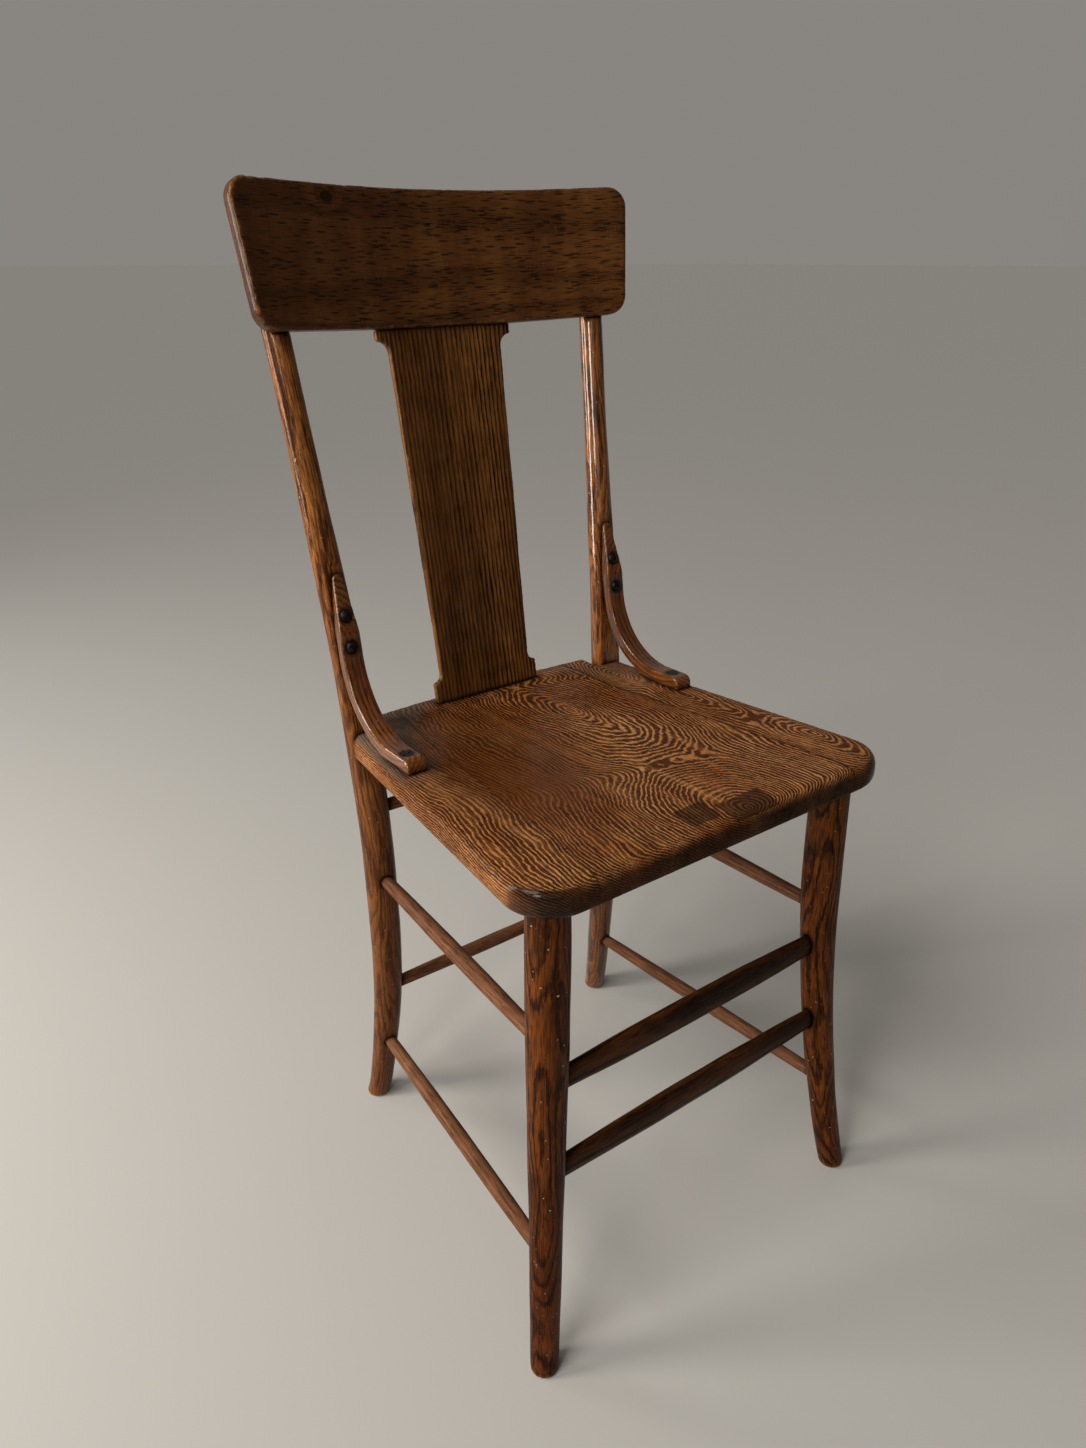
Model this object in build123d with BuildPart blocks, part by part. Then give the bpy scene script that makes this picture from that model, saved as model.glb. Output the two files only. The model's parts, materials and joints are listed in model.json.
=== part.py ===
from build123d import *
import os
from math import atan, atan2, cos, degrees, radians, sin, sqrt, tan

# High-back oak dining chair. Millimetres and degrees, +Z up, the front faces -Y.
# The origin is on the floor, in the middle of the chair's width and depth.
os.makedirs("parts", exist_ok=True)
SIDES = {"left": -1, "right": 1}

# Seat
seat_height = 463.0  # top of the seat above the floor, at the middle of its depth
seat_tilt = 3.3  # the front edge is the higher one
seat_thickness = 27.0
seat_depth = 370.0
seat_front_width = 379.0
seat_back_width = 311.0
seat_back_bow = 9.0  # the back edge bows out by this much
seat_corner_radius = 40.0
seat_blank_radius = 20.0  # of the back corners, which the notches for the posts then take off
seat_edge_radius = 10.0
side_board_width = 57.0
dish_depth = 4.0
dish_width = 262.0
dish_back_margin = 34.0  # from the back edge to the dish
dish_length = 280.0  # the dish runs out to nothing at its front end
dish_corner_radius = 95.0
dish_wall_angle = 50.0

# Front legs
front_leg_spacing = 302.0  # between the leg centres at the seat
front_leg_setback = 34.5  # from the seat's front edge
front_leg_diameter = 34.5
front_leg_taper_start = 330.0  # full diameter above this height
front_foot_diameter = 24.0
front_foot_out = 31.5
front_foot_forward = 40.5
leg_tenon_diameter = 22.0
leg_tenon_length = 17.0
foot_edge_radius = 1.5

# Back posts
post_spacing = 283.0  # between the post centres where they stand upright
post_setback = 42.5  # from the seat's back edge
post_diameter = 31.0
post_foot_diameter = 24.5
post_top_diameter = 22.5
post_knee_height = 235.0  # the foot flares back below this height
post_foot_back = 26.0
post_foot_out = 12.5
post_bend_below_seat = 193.0
post_bend_above_seat = 97.0
post_recline = 10.5
post_spread = 3.0
post_taper_above_seat = 240.0  # the post has its top diameter from here up
post_above_crest_bottom = 84.0
post_top_radius = 7.0
post_flat_depth = 5.0  # cut off the front of the post for the seat and the brace
post_flat_below_seat = 12.0
post_flat_above_brace = 6.0

# Crest rail
crest_above_seat = 329.0  # the rail's lower edge, at the posts
crest_height = 111.0
crest_top_width = 386.0
crest_bottom_width = 368.0
crest_thickness = 16.0
crest_bend_radius = 564.0
crest_corner_radius = 17.0
crest_edge_radius = 3.0
crest_housing = 5.0  # how deep the rail is let into the posts

# Splat
splat_thickness = 6.5
splat_setback = 24.0  # from the seat's back edge
splat_head_width = 138.0
splat_head_depth = 9.0
splat_waist_top = 116.0
splat_waist_bottom = 101.5
splat_foot_width = 117.0
splat_foot_depth = 20.0
splat_edge_radius = 1.2
tongue_width = 96.0
tongue_thickness = 4.0
tongue_length = 12.0

# Braces
brace_width = 19.0
brace_thickness = 12.0
brace_bend_radius = 83.0  # of the side that lies against post and seat
brace_reach = 107.5  # from the foot of the post to the toe
brace_rise = 147.0  # from the seat to the tip
brace_taper = 50.0
brace_tip_width = 10.0
brace_tip_thickness = 3.5
brace_toe_radius = 7.0
brace_edge_radius = 1.4
brace_upper_screw = 110.5
brace_lower_screw = 82.5
brace_seat_screw = 90.0

# Stretchers
front_upper_height = 274.0
front_lower_height = 188.5
front_bar_height = 31.0
front_bar_thickness = 12.5
front_bar_end_height = 23.5
front_bar_end_thickness = 10.5
side_upper_front_height = 310.0
side_upper_back_height = 297.0
side_lower_front_height = 108.0
side_lower_back_height = 88.0
rear_upper_height = 371.0
rear_lower_height = 158.0
rod_diameter = 14.0
rod_end_diameter = 11.5
stretcher_stop = 2.5  # a stretcher ends this far short of the leg's centre

# Screws
dome_diameter = 11.5
dome_height = 3.6
flat_head_diameter = 11.0
flat_head_depth = 3.5
flat_head_sunk = 0.4
screw_diameter = 4.5
screw_slot_width = 1.4
screw_slot_depth = 1.1
screw_grip = 15.0  # length held in the far piece
crest_screw_grip = 10.0
crest_screw_heights = (25.0, 60.0)
post_screw_recess = 6.0
spot_face = 1.2
spot_face_room = 0.5

# Clearances
socket_clearance = 0.15
end_clearance = 0.4
pilot_clearance = 0.1
hole_clearance = 0.3
fit_gap = 0.1

# Slopes of the bent posts and of the seat
recline_slope = tan(radians(post_recline))
spread_slope = tan(radians(post_spread))
tilt_slope = tan(radians(seat_tilt))
bend_start = seat_height - post_bend_below_seat
bend_length = post_bend_below_seat + post_bend_above_seat
crest_level = seat_height + crest_above_seat


def post_offset(height):
    """Sideways and backward offset of the post's centre line from its upright stretch."""
    knee = max(0.0, 1 - height / post_knee_height) ** 2
    bend = min(max(0.0, height - bend_start), bend_length)
    lean = bend * bend / (2 * bend_length) + max(0.0, height - bend_start - bend_length)
    return post_foot_out * knee + spread_slope * lean, post_foot_back * knee + recline_slope * lean


def post_size(height):
    """Diameter of the post, thickest from the knee to the seat."""
    down = max(0.0, 1 - height / post_knee_height)
    taper_start = seat_height - seat_thickness
    up = max(0.0, height - taper_start) / (post_taper_above_seat + seat_thickness)
    foot_part = (post_diameter - post_foot_diameter) * down
    top_part = (post_diameter - post_top_diameter) * min(1.0, up)
    return post_diameter - foot_part - top_part


def rail_curve(x, radius):
    """How far an arc of the crest rail has come forward at x, from the middle of its front face."""
    return sqrt(radius * radius - x * x) - crest_bend_radius


# The crest rail's place on the posts, measured from the middle of the seat
crest_back_radius = crest_bend_radius + crest_thickness
crest_post_x = post_spacing / 2 + post_offset(crest_level)[0]
crest_post_y = seat_depth / 2 - post_setback + post_offset(crest_level)[1]
crest_seat_y = crest_post_y - post_size(crest_level) / 2 + crest_housing
lean_cos = cos(radians(post_recline))
lean_sin = sin(radians(post_recline))
crest_front_y = crest_seat_y - rail_curve(crest_post_x, crest_back_radius) * lean_cos
crest_front_z = crest_level + rail_curve(crest_post_x, crest_back_radius) * lean_sin

# The middle of the chair's depth is the origin, so the seat's middle is set from both reaches
foot_reach = seat_depth / 2 - front_leg_setback + front_foot_forward + front_foot_diameter / 2
front_reach = max(foot_reach, seat_depth / 2)
crest_reach = crest_front_y + crest_thickness * lean_cos + crest_height * lean_sin
back_reach = crest_reach - crest_edge_radius * (lean_cos + lean_sin - 1)
seat_y = (front_reach - back_reach) / 2

seat_normal = (0, sin(radians(seat_tilt)), cos(radians(seat_tilt)))
seat_plane = Plane((0, seat_y, seat_height), (1, 0, 0), seat_normal)
seat_bottom = seat_plane.offset(-seat_thickness)
crest_plane = Plane((0, seat_y + crest_front_y, crest_front_z), (1, 0, 0), (0, lean_sin, lean_cos))


def front_leg_point(side, height):
    """Centre of a front leg: upright at the seat, then an even curve out to the foot."""
    sweep_out = max(0.0, 1 - height / (seat_height - seat_thickness)) ** 2
    x = front_leg_spacing / 2 + front_foot_out * sweep_out
    y = seat_y - seat_depth / 2 + front_leg_setback - front_foot_forward * sweep_out
    return Vector(side * x, y, height)


def tenon_place(side):
    """Centre of a front leg's tenon, in the plane of the seat's underside."""
    center = seat_bottom.to_local_coords(front_leg_point(side, seat_height - seat_thickness))
    return center.X, center.Y


def front_leg_size(height):
    """Diameter of a front leg, tapered below front_leg_taper_start."""
    share = min(1.0, height / front_leg_taper_start)
    return front_foot_diameter + (front_leg_diameter - front_foot_diameter) * share


def post_point(side, height):
    """Centre of a back post."""
    out, back = post_offset(height)
    return Vector(side * (post_spacing / 2 + out), seat_y + seat_depth / 2 - post_setback + back, height)


def seat_top_z(y):
    """Height of the seat's top, away from the dish."""
    return seat_height - tilt_slope * (y - seat_y)


# The flat on the front of the post runs straight from the seat to the brace's tip
flat_offset = post_diameter / 2 - post_flat_depth
flat_low = post_point(1, seat_height - seat_thickness / 2)
flat_high = post_point(1, seat_height + brace_rise)
flat_slope = (flat_high.Y - flat_low.Y) / (flat_high.Z - flat_low.Z)
flat_angle = degrees(atan(flat_slope))


def flat_y(height):
    """Where the flat of the post is at a height."""
    return flat_low.Y - flat_offset + flat_slope * (height - flat_low.Z)


# The corner where post and seat meet, seen from the side as (y, z), and the two ways out of it
slopes = tilt_slope * flat_slope
corner_z = (seat_top_z(flat_y(seat_height)) + slopes * seat_height) / (1 + slopes)
corner = Vector(flat_y(corner_z), corner_z)
along_seat = Vector(-cos(radians(seat_tilt)), sin(radians(seat_tilt)))
off_seat = Vector(sin(radians(seat_tilt)), cos(radians(seat_tilt)))
along_post = Vector(sin(radians(flat_angle)), cos(radians(flat_angle)))
off_post = Vector(-cos(radians(flat_angle)), sin(radians(flat_angle)))
brace_x = post_point(1, corner.Y + brace_upper_screw).X


def brace_depth(distance):
    """Thickness of the brace at a distance up the post."""
    share = max(0.0, (distance - (brace_rise - brace_taper)) / brace_taper)
    return brace_thickness - (brace_thickness - brace_tip_thickness) * share


def side_view(point, side):
    """A point of the side view, at the middle of the brace."""
    return (side * brace_x, point.X, point.Y)


def post_screw_plane(side, distance):
    """Plane on which the head of a brace screw sits, facing away from the post."""
    foot = corner + along_post * distance + off_post * (brace_depth(distance) - spot_face)
    return Plane(side_view(foot, side), (1, 0, 0), (0, off_post.X, off_post.Y))


def seat_screw_plane(side):
    """Plane of a countersunk head in the brace's foot, facing up."""
    head = corner + along_seat * brace_seat_screw + off_seat * (brace_thickness - flat_head_sunk)
    return Plane(side_view(head, side), (1, 0, 0), (0, off_seat.X, off_seat.Y))


def seat_end_screw_plane(side):
    """Plane of the recessed head behind the post, facing back along the seat."""
    middle = post_point(side, corner.Y - seat_thickness / 2)
    behind = middle + seat_plane.y_dir * (post_diameter / 2 - post_screw_recess)
    return Plane(behind, (1, 0, 0), seat_plane.y_dir)


def crest_screw_plane(side, rise):
    """Plane of a screw head behind the top of the post, facing back from the rail."""
    level = crest_level + rise * lean_cos
    center = post_point(side, level)
    behind = center + crest_plane.y_dir * (post_size(level) / 2 - spot_face)
    return Plane(behind, (1, 0, 0), crest_plane.y_dir)


# How far each screw reaches below the plane of its head
seat_end_screw_length = post_diameter - post_flat_depth - post_screw_recess + 2 * screw_grip
crest_screw_length = post_top_diameter - crest_housing - spot_face + crest_screw_grip


def stretcher_ends(first, second):
    """Both ends of a stretcher between two leg centres, short of each by the stop."""
    along = (second - first).normalized()
    return first + along * stretcher_stop, second - along * stretcher_stop


def save(piece, label):
    """Name a finished piece and write it."""
    piece.label = label
    export_step(piece, f"parts/{label}.step")


# Each stretcher: the two leg centres that it joins
STRETCHERS = {
    "front_stretcher_upper": [front_leg_point(s, front_upper_height) for s in (-1, 1)],
    "front_stretcher_lower": [front_leg_point(s, front_lower_height) for s in (-1, 1)],
    "rear_stretcher_upper": [post_point(s, rear_upper_height) for s in (-1, 1)],
    "rear_stretcher_lower": [post_point(s, rear_lower_height) for s in (-1, 1)],
}
for side_name, side in SIDES.items():
    STRETCHERS[f"side_stretcher_{side_name}_upper"] = [
        front_leg_point(side, side_upper_front_height),
        post_point(side, side_upper_back_height),
    ]
    STRETCHERS[f"side_stretcher_{side_name}_lower"] = [
        front_leg_point(side, side_lower_front_height),
        post_point(side, side_lower_back_height),
    ]


def leg_size_at(point):
    """Diameter of the leg or post whose centre line holds the point."""
    return front_leg_size(point.Z) if point.Y < seat_y else post_size(point.Z)


def stretcher_section(name, share, room):
    """Section of a stretcher, from its ends at share 0 to its middle at share 1."""
    if name.startswith("front"):
        height = front_bar_end_height + (front_bar_height - front_bar_end_height) * share
        thickness = front_bar_end_thickness + (front_bar_thickness - front_bar_end_thickness) * share
        Ellipse(thickness / 2 + room, height / 2 + room)
    else:
        Circle((rod_end_diameter + (rod_diameter - rod_end_diameter) * share) / 2 + room)


def stretcher_plane(at, along):
    """Plane across a stretcher, with its first direction level."""
    return Plane(at, Vector(0, 0, 1).cross(along), along)


def cut_sockets(place, diameter):
    """Cut the sockets of every stretcher that ends in the leg at this place."""
    for name, centers in STRETCHERS.items():
        ends = stretcher_ends(*centers)
        for center, end, far in zip(centers, ends, reversed(ends)):
            if (center - place(center.Z)).length < fit_gap:
                along = (far - end).normalized()
                with BuildSketch(stretcher_plane(end - along * end_clearance, along)) as socket:
                    stretcher_section(name, 0, socket_clearance)
                extrude(socket.sketch, amount=diameter, mode=Mode.SUBTRACT)


def drill(plane, diameter, depth):
    """Drill a hole down from a plane."""
    with BuildSketch(plane) as hole:
        Circle(diameter / 2)
    extrude(hole.sketch, amount=-depth, mode=Mode.SUBTRACT)


def counterbore(plane, diameter, height):
    """Clear the room for a screw head above a plane."""
    with BuildSketch(plane) as room:
        Circle(diameter / 2)
    extrude(room.sketch, amount=height, mode=Mode.SUBTRACT)


def slot_head(top_plane):
    """Cut the driving slot across a screw head."""
    with BuildSketch(top_plane) as slot:
        Rectangle(2 * dome_diameter, screw_slot_width)
    extrude(slot.sketch, amount=-screw_slot_depth, mode=Mode.SUBTRACT)


# Seat: one glued-up panel, then sawn along its glue lines into boards
half_front = seat_front_width / 2
half_back = seat_back_width / 2
back_corner_y = seat_depth / 2 - seat_back_bow
dish_front_y = seat_depth / 2 - dish_back_margin - dish_length
dish_angle = degrees(atan2(dish_depth, dish_length))
dish_front = seat_plane.from_local_coords((0, dish_front_y, 0))
dish_plane = Plane(dish_front, (1, 0, 0), seat_plane.z_dir).rotated((-dish_angle, 0, 0))
notch_x = post_point(1, seat_height - 2 * seat_thickness).X - post_diameter / 2 - socket_clearance
splat_foot_y = seat_y + seat_depth / 2 - splat_setback
splat_foot = Vector(0, splat_foot_y, seat_top_z(splat_foot_y))
splat_head = crest_plane.from_local_coords(Vector(0, crest_thickness / 2, 0))
splat_up = (splat_head - splat_foot).normalized()
splat_plane = Plane(splat_foot, (1, 0, 0), Vector(1, 0, 0).cross(splat_up))
splat_length = (splat_head - splat_foot).length


def cut_tongue_slot(center_y):
    """Slot for a tongue of the splat, in the splat's own plane."""
    with BuildSketch(splat_plane) as slot:
        with Locations((0, center_y)):
            Rectangle(tongue_width + 2 * socket_clearance, 2 * (tongue_length + end_clearance))
    extrude(slot.sketch, amount=tongue_thickness / 2 + socket_clearance, both=True, mode=Mode.SUBTRACT)


with BuildPart() as seat:
    with BuildSketch(seat_plane) as seat_outline:
        with BuildLine():
            Polyline(
                (-half_back, back_corner_y),
                (-half_front, -seat_depth / 2),
                (half_front, -seat_depth / 2),
                (half_back, back_corner_y),
            )
            ThreePointArc((half_back, back_corner_y), (0, seat_depth / 2), (-half_back, back_corner_y))
        make_face()
        fillet(seat_outline.vertices().group_by(Axis.Y)[0], seat_corner_radius)
        fillet(seat_outline.vertices().group_by(Axis.Y)[-1], seat_blank_radius)
    extrude(amount=-seat_thickness)
    fillet(seat.faces().sort_by(SortBy.AREA)[-2:].edges(), seat_edge_radius)
    # The dish: its floor drops from the seat's middle towards the splat
    with BuildSketch(dish_plane) as dish_outline:
        with Locations((0, dish_length / 2)):
            Rectangle(dish_width, dish_length)
        fillet(dish_outline.vertices().group_by(Axis.Y)[-1], dish_corner_radius)
    extrude(amount=3 * dish_depth, taper=-dish_wall_angle, mode=Mode.SUBTRACT)
    for side in SIDES.values():
        # Notch for the back post, open at the side and the back
        with BuildSketch(Plane.YZ.offset(side * notch_x)):
            with BuildLine():
                Polyline(
                    (flat_y(seat_height - 2 * seat_thickness), seat_height - 2 * seat_thickness),
                    (flat_y(seat_height + seat_thickness), seat_height + seat_thickness),
                    (flat_y(seat_height) + seat_depth, seat_height + seat_thickness),
                    (flat_y(seat_height) + seat_depth, seat_height - 2 * seat_thickness),
                    close=True,
                )
            make_face()
        extrude(amount=side * seat_front_width, mode=Mode.SUBTRACT)
        # Socket for the front leg's tenon, from below
        with BuildSketch(seat_bottom):
            with Locations(tenon_place(side)):
                Circle(leg_tenon_diameter / 2 + socket_clearance)
        extrude(amount=leg_tenon_length + end_clearance, mode=Mode.SUBTRACT)
        drill(
            seat_screw_plane(side),
            screw_diameter + 2 * pilot_clearance,
            brace_thickness - flat_head_sunk + screw_grip + end_clearance,
        )
        drill(
            seat_end_screw_plane(side),
            screw_diameter + 2 * pilot_clearance,
            seat_end_screw_length + end_clearance,
        )
    cut_tongue_slot(0)

# The glue lines run parallel to the seat's sides
side_slope = atan((half_front - half_back) / (seat_depth - seat_back_bow))
glue_x = (half_front + half_back) / 2 - side_board_width
glue_lines = {}
for side_name, side in SIDES.items():
    outward = seat_plane.x_dir * (side * cos(side_slope)) + seat_plane.y_dir * sin(side_slope)
    glue_place = seat_plane.from_local_coords((side * glue_x, 0, 0))
    glue_lines[side_name] = Plane(glue_place, seat_plane.z_dir, outward)
for side_name in SIDES:
    with BuildPart() as seat_side_board:
        add(seat.part)
        split(bisect_by=glue_lines[side_name], keep=Keep.TOP)
    save(seat_side_board.part, f"seat_board_{side_name}")
with BuildPart() as seat_board_centre:
    add(seat.part)
    for glue_line in glue_lines.values():
        split(bisect_by=glue_line, keep=Keep.BOTTOM)
save(seat_board_centre.part, "seat_board_centre")

# Front legs: round, tapered, with a tenon under the seat
LEG_SECTIONS = 7
for side_name, side in SIDES.items():
    with BuildPart() as front_leg:
        for step in range(LEG_SECTIONS + 1):
            level = seat_height * step / LEG_SECTIONS
            center = front_leg_point(side, level)
            with BuildSketch(Plane.XY.offset(level)):
                with Locations((center.X, center.Y)):
                    Circle(front_leg_size(level) / 2)
        loft()
        split(bisect_by=seat_bottom, keep=Keep.BOTTOM)
        fillet(front_leg.faces().sort_by(Axis.Z)[0].edges(), foot_edge_radius)
        with BuildSketch(seat_bottom):
            with Locations(tenon_place(side)):
                Circle(leg_tenon_diameter / 2)
        extrude(amount=leg_tenon_length)
        cut_sockets(lambda level: front_leg_point(side, level), front_leg_diameter)
    save(front_leg.part, f"front_leg_{side_name}")

# Back posts: rear leg and back in one bent piece
POST_SECTIONS = 14
post_top = crest_level + post_above_crest_bottom
flat_bottom_z = corner.Y - seat_thickness - post_flat_below_seat
flat_top_z = corner.Y + brace_rise + post_flat_above_brace
for side_name, side in SIDES.items():
    with BuildPart() as back_post:
        for step in range(POST_SECTIONS + 1):
            level = post_top * step / POST_SECTIONS
            center = post_point(side, level)
            with BuildSketch(Plane.XY.offset(level)):
                with Locations((center.X, center.Y)):
                    Circle(post_size(level) / 2)
        loft()
        fillet(back_post.faces().sort_by(Axis.Z)[0].edges(), foot_edge_radius)
        fillet(back_post.faces().sort_by(Axis.Z)[-1].edges(), post_top_radius)
        # The flat for the seat and the brace, running out at both ends
        with BuildSketch(Plane.YZ.offset(side * (post_spacing / 2))):
            with BuildLine():
                Polyline(
                    (flat_y(flat_bottom_z), flat_bottom_z),
                    (flat_y(flat_top_z), flat_top_z),
                    (flat_y(flat_top_z) - post_diameter, flat_top_z + 3 * post_diameter),
                    (flat_y(flat_bottom_z) - post_diameter, flat_bottom_z - 3 * post_diameter),
                    close=True,
                )
            make_face()
        extrude(amount=2 * post_diameter, both=True, mode=Mode.SUBTRACT)
        # The housing for the crest rail
        with BuildSketch(crest_plane.offset(-fit_gap)):
            with Locations((0, -crest_bend_radius)):
                Circle(crest_back_radius + fit_gap)
        extrude(amount=2 * crest_height, mode=Mode.SUBTRACT)
        cut_sockets(lambda level: post_point(side, level), post_diameter)
        for distance in (brace_upper_screw, brace_lower_screw):
            drill(
                post_screw_plane(side, distance),
                screw_diameter + 2 * pilot_clearance,
                brace_depth(distance) - spot_face + screw_grip + end_clearance,
            )
        drill(
            seat_end_screw_plane(side),
            screw_diameter + 2 * hole_clearance,
            2 * post_diameter,
        )
        counterbore(seat_end_screw_plane(side), dome_diameter + 2 * spot_face_room, post_diameter)
        for rise in crest_screw_heights:
            drill(crest_screw_plane(side, rise), screw_diameter + 2 * hole_clearance, post_diameter)
            counterbore(crest_screw_plane(side, rise), dome_diameter + 2 * spot_face_room, post_diameter)
    save(back_post.part, f"back_post_{side_name}")

# Crest rail: bent round an axis that leans with the posts, then cut to its outline
half_top = crest_top_width / 2
half_bottom = crest_bottom_width / 2
crest_face = Plane(crest_plane.origin, (1, 0, 0), -crest_plane.y_dir)
with BuildPart() as crest_rail:
    with BuildSketch(crest_plane):
        with BuildLine():
            front_end = (half_top, rail_curve(half_top, crest_bend_radius))
            back_end = (half_top, rail_curve(half_top, crest_back_radius))
            ThreePointArc((-front_end[0], front_end[1]), (0, 0), front_end)
            Line(front_end, back_end)
            ThreePointArc(back_end, (0, crest_thickness), (-back_end[0], back_end[1]))
            Line((-back_end[0], back_end[1]), (-front_end[0], front_end[1]))
        make_face()
    extrude(amount=crest_height)
    with BuildSketch(crest_face) as crest_outline:
        with BuildLine():
            Polyline(
                (-half_bottom, 0),
                (half_bottom, 0),
                (half_top, crest_height),
                (-half_top, crest_height),
                close=True,
            )
        make_face()
        fillet(crest_outline.vertices(), crest_corner_radius)
    extrude(amount=crest_bend_radius, both=True, mode=Mode.INTERSECT)
    fillet(crest_rail.faces().sort_by(SortBy.AREA)[-2:].edges(), crest_edge_radius)
    cut_tongue_slot(splat_length)
    for side in SIDES.values():
        for rise in crest_screw_heights:
            drill(
                crest_screw_plane(side, rise),
                screw_diameter + 2 * pilot_clearance,
                crest_screw_length + end_clearance,
            )
save(crest_rail.part, "crest_rail")

# Splat: a flat board with a cove above its foot and below its head
with BuildPart() as splat:
    head_cove = (splat_head_width - splat_waist_top) / 2
    foot_cove = (splat_foot_width - splat_waist_bottom) / 2
    head_y = splat_length - splat_head_depth
    with BuildSketch(splat_plane):
        with BuildLine() as splat_edge:
            Polyline(
                (0, -splat_foot_depth),
                (splat_foot_width / 2, -splat_foot_depth),
                (splat_foot_width / 2, splat_foot_depth),
            )
            RadiusArc(
                (splat_foot_width / 2, splat_foot_depth),
                (splat_waist_bottom / 2, splat_foot_depth + foot_cove),
                foot_cove,
            )
            Line(
                (splat_waist_bottom / 2, splat_foot_depth + foot_cove),
                (splat_waist_top / 2, head_y - head_cove),
            )
            RadiusArc((splat_waist_top / 2, head_y - head_cove), (splat_head_width / 2, head_y), head_cove)
            Polyline(
                (splat_head_width / 2, head_y),
                (splat_head_width / 2, splat_length - fit_gap),
                (0, splat_length - fit_gap),
            )
            mirror(about=Plane.YZ)
        make_face()
    extrude(amount=splat_thickness / 2, both=True)
    split(bisect_by=seat_plane.offset(fit_gap), keep=Keep.TOP)
    # The long edges between the coves are eased
    fillet(splat.edges().filter_by(GeomType.LINE).sort_by(SortBy.LENGTH)[-4:], splat_edge_radius)
    for center_y in (0, splat_length):
        with BuildSketch(splat_plane.offset(-tongue_thickness / 2)):
            with Locations((0, center_y)):
                Rectangle(tongue_width, 2 * tongue_length)
        extrude(amount=tongue_thickness)
save(splat.part, "splat")

# Braces: bent strips that lie on the seat and up the flat of the post
for side_name, side in SIDES.items():
    with BuildPart() as brace:
        toe = corner + along_seat * brace_reach
        tip = corner + along_post * brace_rise
        shoulder = corner + along_post * (brace_rise - brace_taper) + off_post * brace_thickness
        turn = radians(along_seat.get_angle(along_post))
        inner_corner = corner + (along_seat + along_post) * (brace_thickness / sin(turn))
        with BuildSketch(Plane.YZ.offset(side * brace_x)) as brace_profile:
            with BuildLine():
                Polyline(
                    toe,
                    corner,
                    tip,
                    tip + off_post * brace_tip_thickness,
                    shoulder,
                    inner_corner,
                    toe + off_seat * brace_thickness,
                    close=True,
                )
            make_face()
            fillet(brace_profile.vertices().sort_by_distance(corner)[0], brace_bend_radius)
            fillet(
                brace_profile.vertices().sort_by_distance(inner_corner)[0],
                brace_bend_radius - brace_thickness,
            )
            fillet(brace_profile.vertices().sort_by_distance(shoulder)[0], brace_taper)
            fillet(
                brace_profile.vertices().sort_by_distance(toe + off_seat * brace_thickness)[0],
                brace_toe_radius,
            )
        extrude(amount=brace_width / 2, both=True)
        fillet(brace.faces().filter_by(Axis.X).edges(), min(brace_edge_radius, brace_tip_thickness * 0.4))
        # Seen from the front, the tip narrows and is round
        tip_round = brace_tip_width / 2
        narrow_z = tip.Y - brace_taper
        with BuildSketch(Plane.XZ):
            with BuildLine():
                Polyline(
                    (side * brace_x - tip_round, tip.Y - tip_round),
                    (side * brace_x - brace_width / 2, narrow_z),
                    (side * brace_x - brace_width / 2, 0),
                    (side * brace_x + brace_width / 2, 0),
                    (side * brace_x + brace_width / 2, narrow_z),
                    (side * brace_x + tip_round, tip.Y - tip_round),
                )
                ThreePointArc(
                    (side * brace_x + tip_round, tip.Y - tip_round),
                    (side * brace_x, tip.Y),
                    (side * brace_x - tip_round, tip.Y - tip_round),
                )
            make_face()
        extrude(amount=2 * seat_depth, both=True, mode=Mode.INTERSECT)
        for distance in (brace_upper_screw, brace_lower_screw):
            drill(post_screw_plane(side, distance), screw_diameter + 2 * hole_clearance, brace_thickness)
            counterbore(
                post_screw_plane(side, distance),
                dome_diameter + 2 * spot_face_room,
                brace_thickness,
            )
        head_plane = seat_screw_plane(side)
        drill(head_plane, screw_diameter + 2 * hole_clearance, 2 * brace_thickness)
        counterbore(head_plane, flat_head_diameter + 2 * hole_clearance, brace_thickness)
        with BuildSketch(head_plane):
            Circle(flat_head_diameter / 2 + hole_clearance)
        with BuildSketch(head_plane.offset(-flat_head_depth)):
            Circle(screw_diameter / 2 + hole_clearance)
        loft(mode=Mode.SUBTRACT)
    save(brace.part, f"brace_{side_name}")

# Stretchers: bars and rods that swell towards the middle, their ends in the sockets
for name, centers in STRETCHERS.items():
    start, end = stretcher_ends(*centers)
    along = (end - start).normalized()
    first_mouth = centers[0] + along * (leg_size_at(centers[0]) / 2 + end_clearance)
    last_mouth = centers[1] - along * (leg_size_at(centers[1]) / 2 + end_clearance)
    with BuildPart() as stretcher:
        for at, share in ((first_mouth, 0), ((first_mouth + last_mouth) / 2, 1), (last_mouth, 0)):
            with BuildSketch(stretcher_plane(at, along)):
                stretcher_section(name, share, 0)
        loft()
        with BuildSketch(stretcher_plane(start, along)):
            stretcher_section(name, 0, 0)
        extrude(amount=(first_mouth - start).length)
        with BuildSketch(stretcher_plane(last_mouth, along)):
            stretcher_section(name, 0, 0)
        extrude(amount=(end - last_mouth).length)
    save(stretcher.part, name)


def dome_screw(plane, length):
    """A dome-head screw: the head on its plane, the shank below."""
    with BuildSketch(Plane(plane.origin, plane.x_dir, -plane.y_dir)) as half_profile:
        with BuildLine():
            Polyline(
                (0, dome_height),
                (0, -length),
                (screw_diameter / 2, -length),
                (screw_diameter / 2, 0),
                (dome_diameter / 2, 0),
            )
            TangentArc((0, dome_height), (dome_diameter / 2, 0), tangent=(1, 0))
        make_face()
    revolve(half_profile.sketch, axis=Axis(plane.origin, plane.z_dir))
    slot_head(plane.offset(dome_height))


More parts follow.
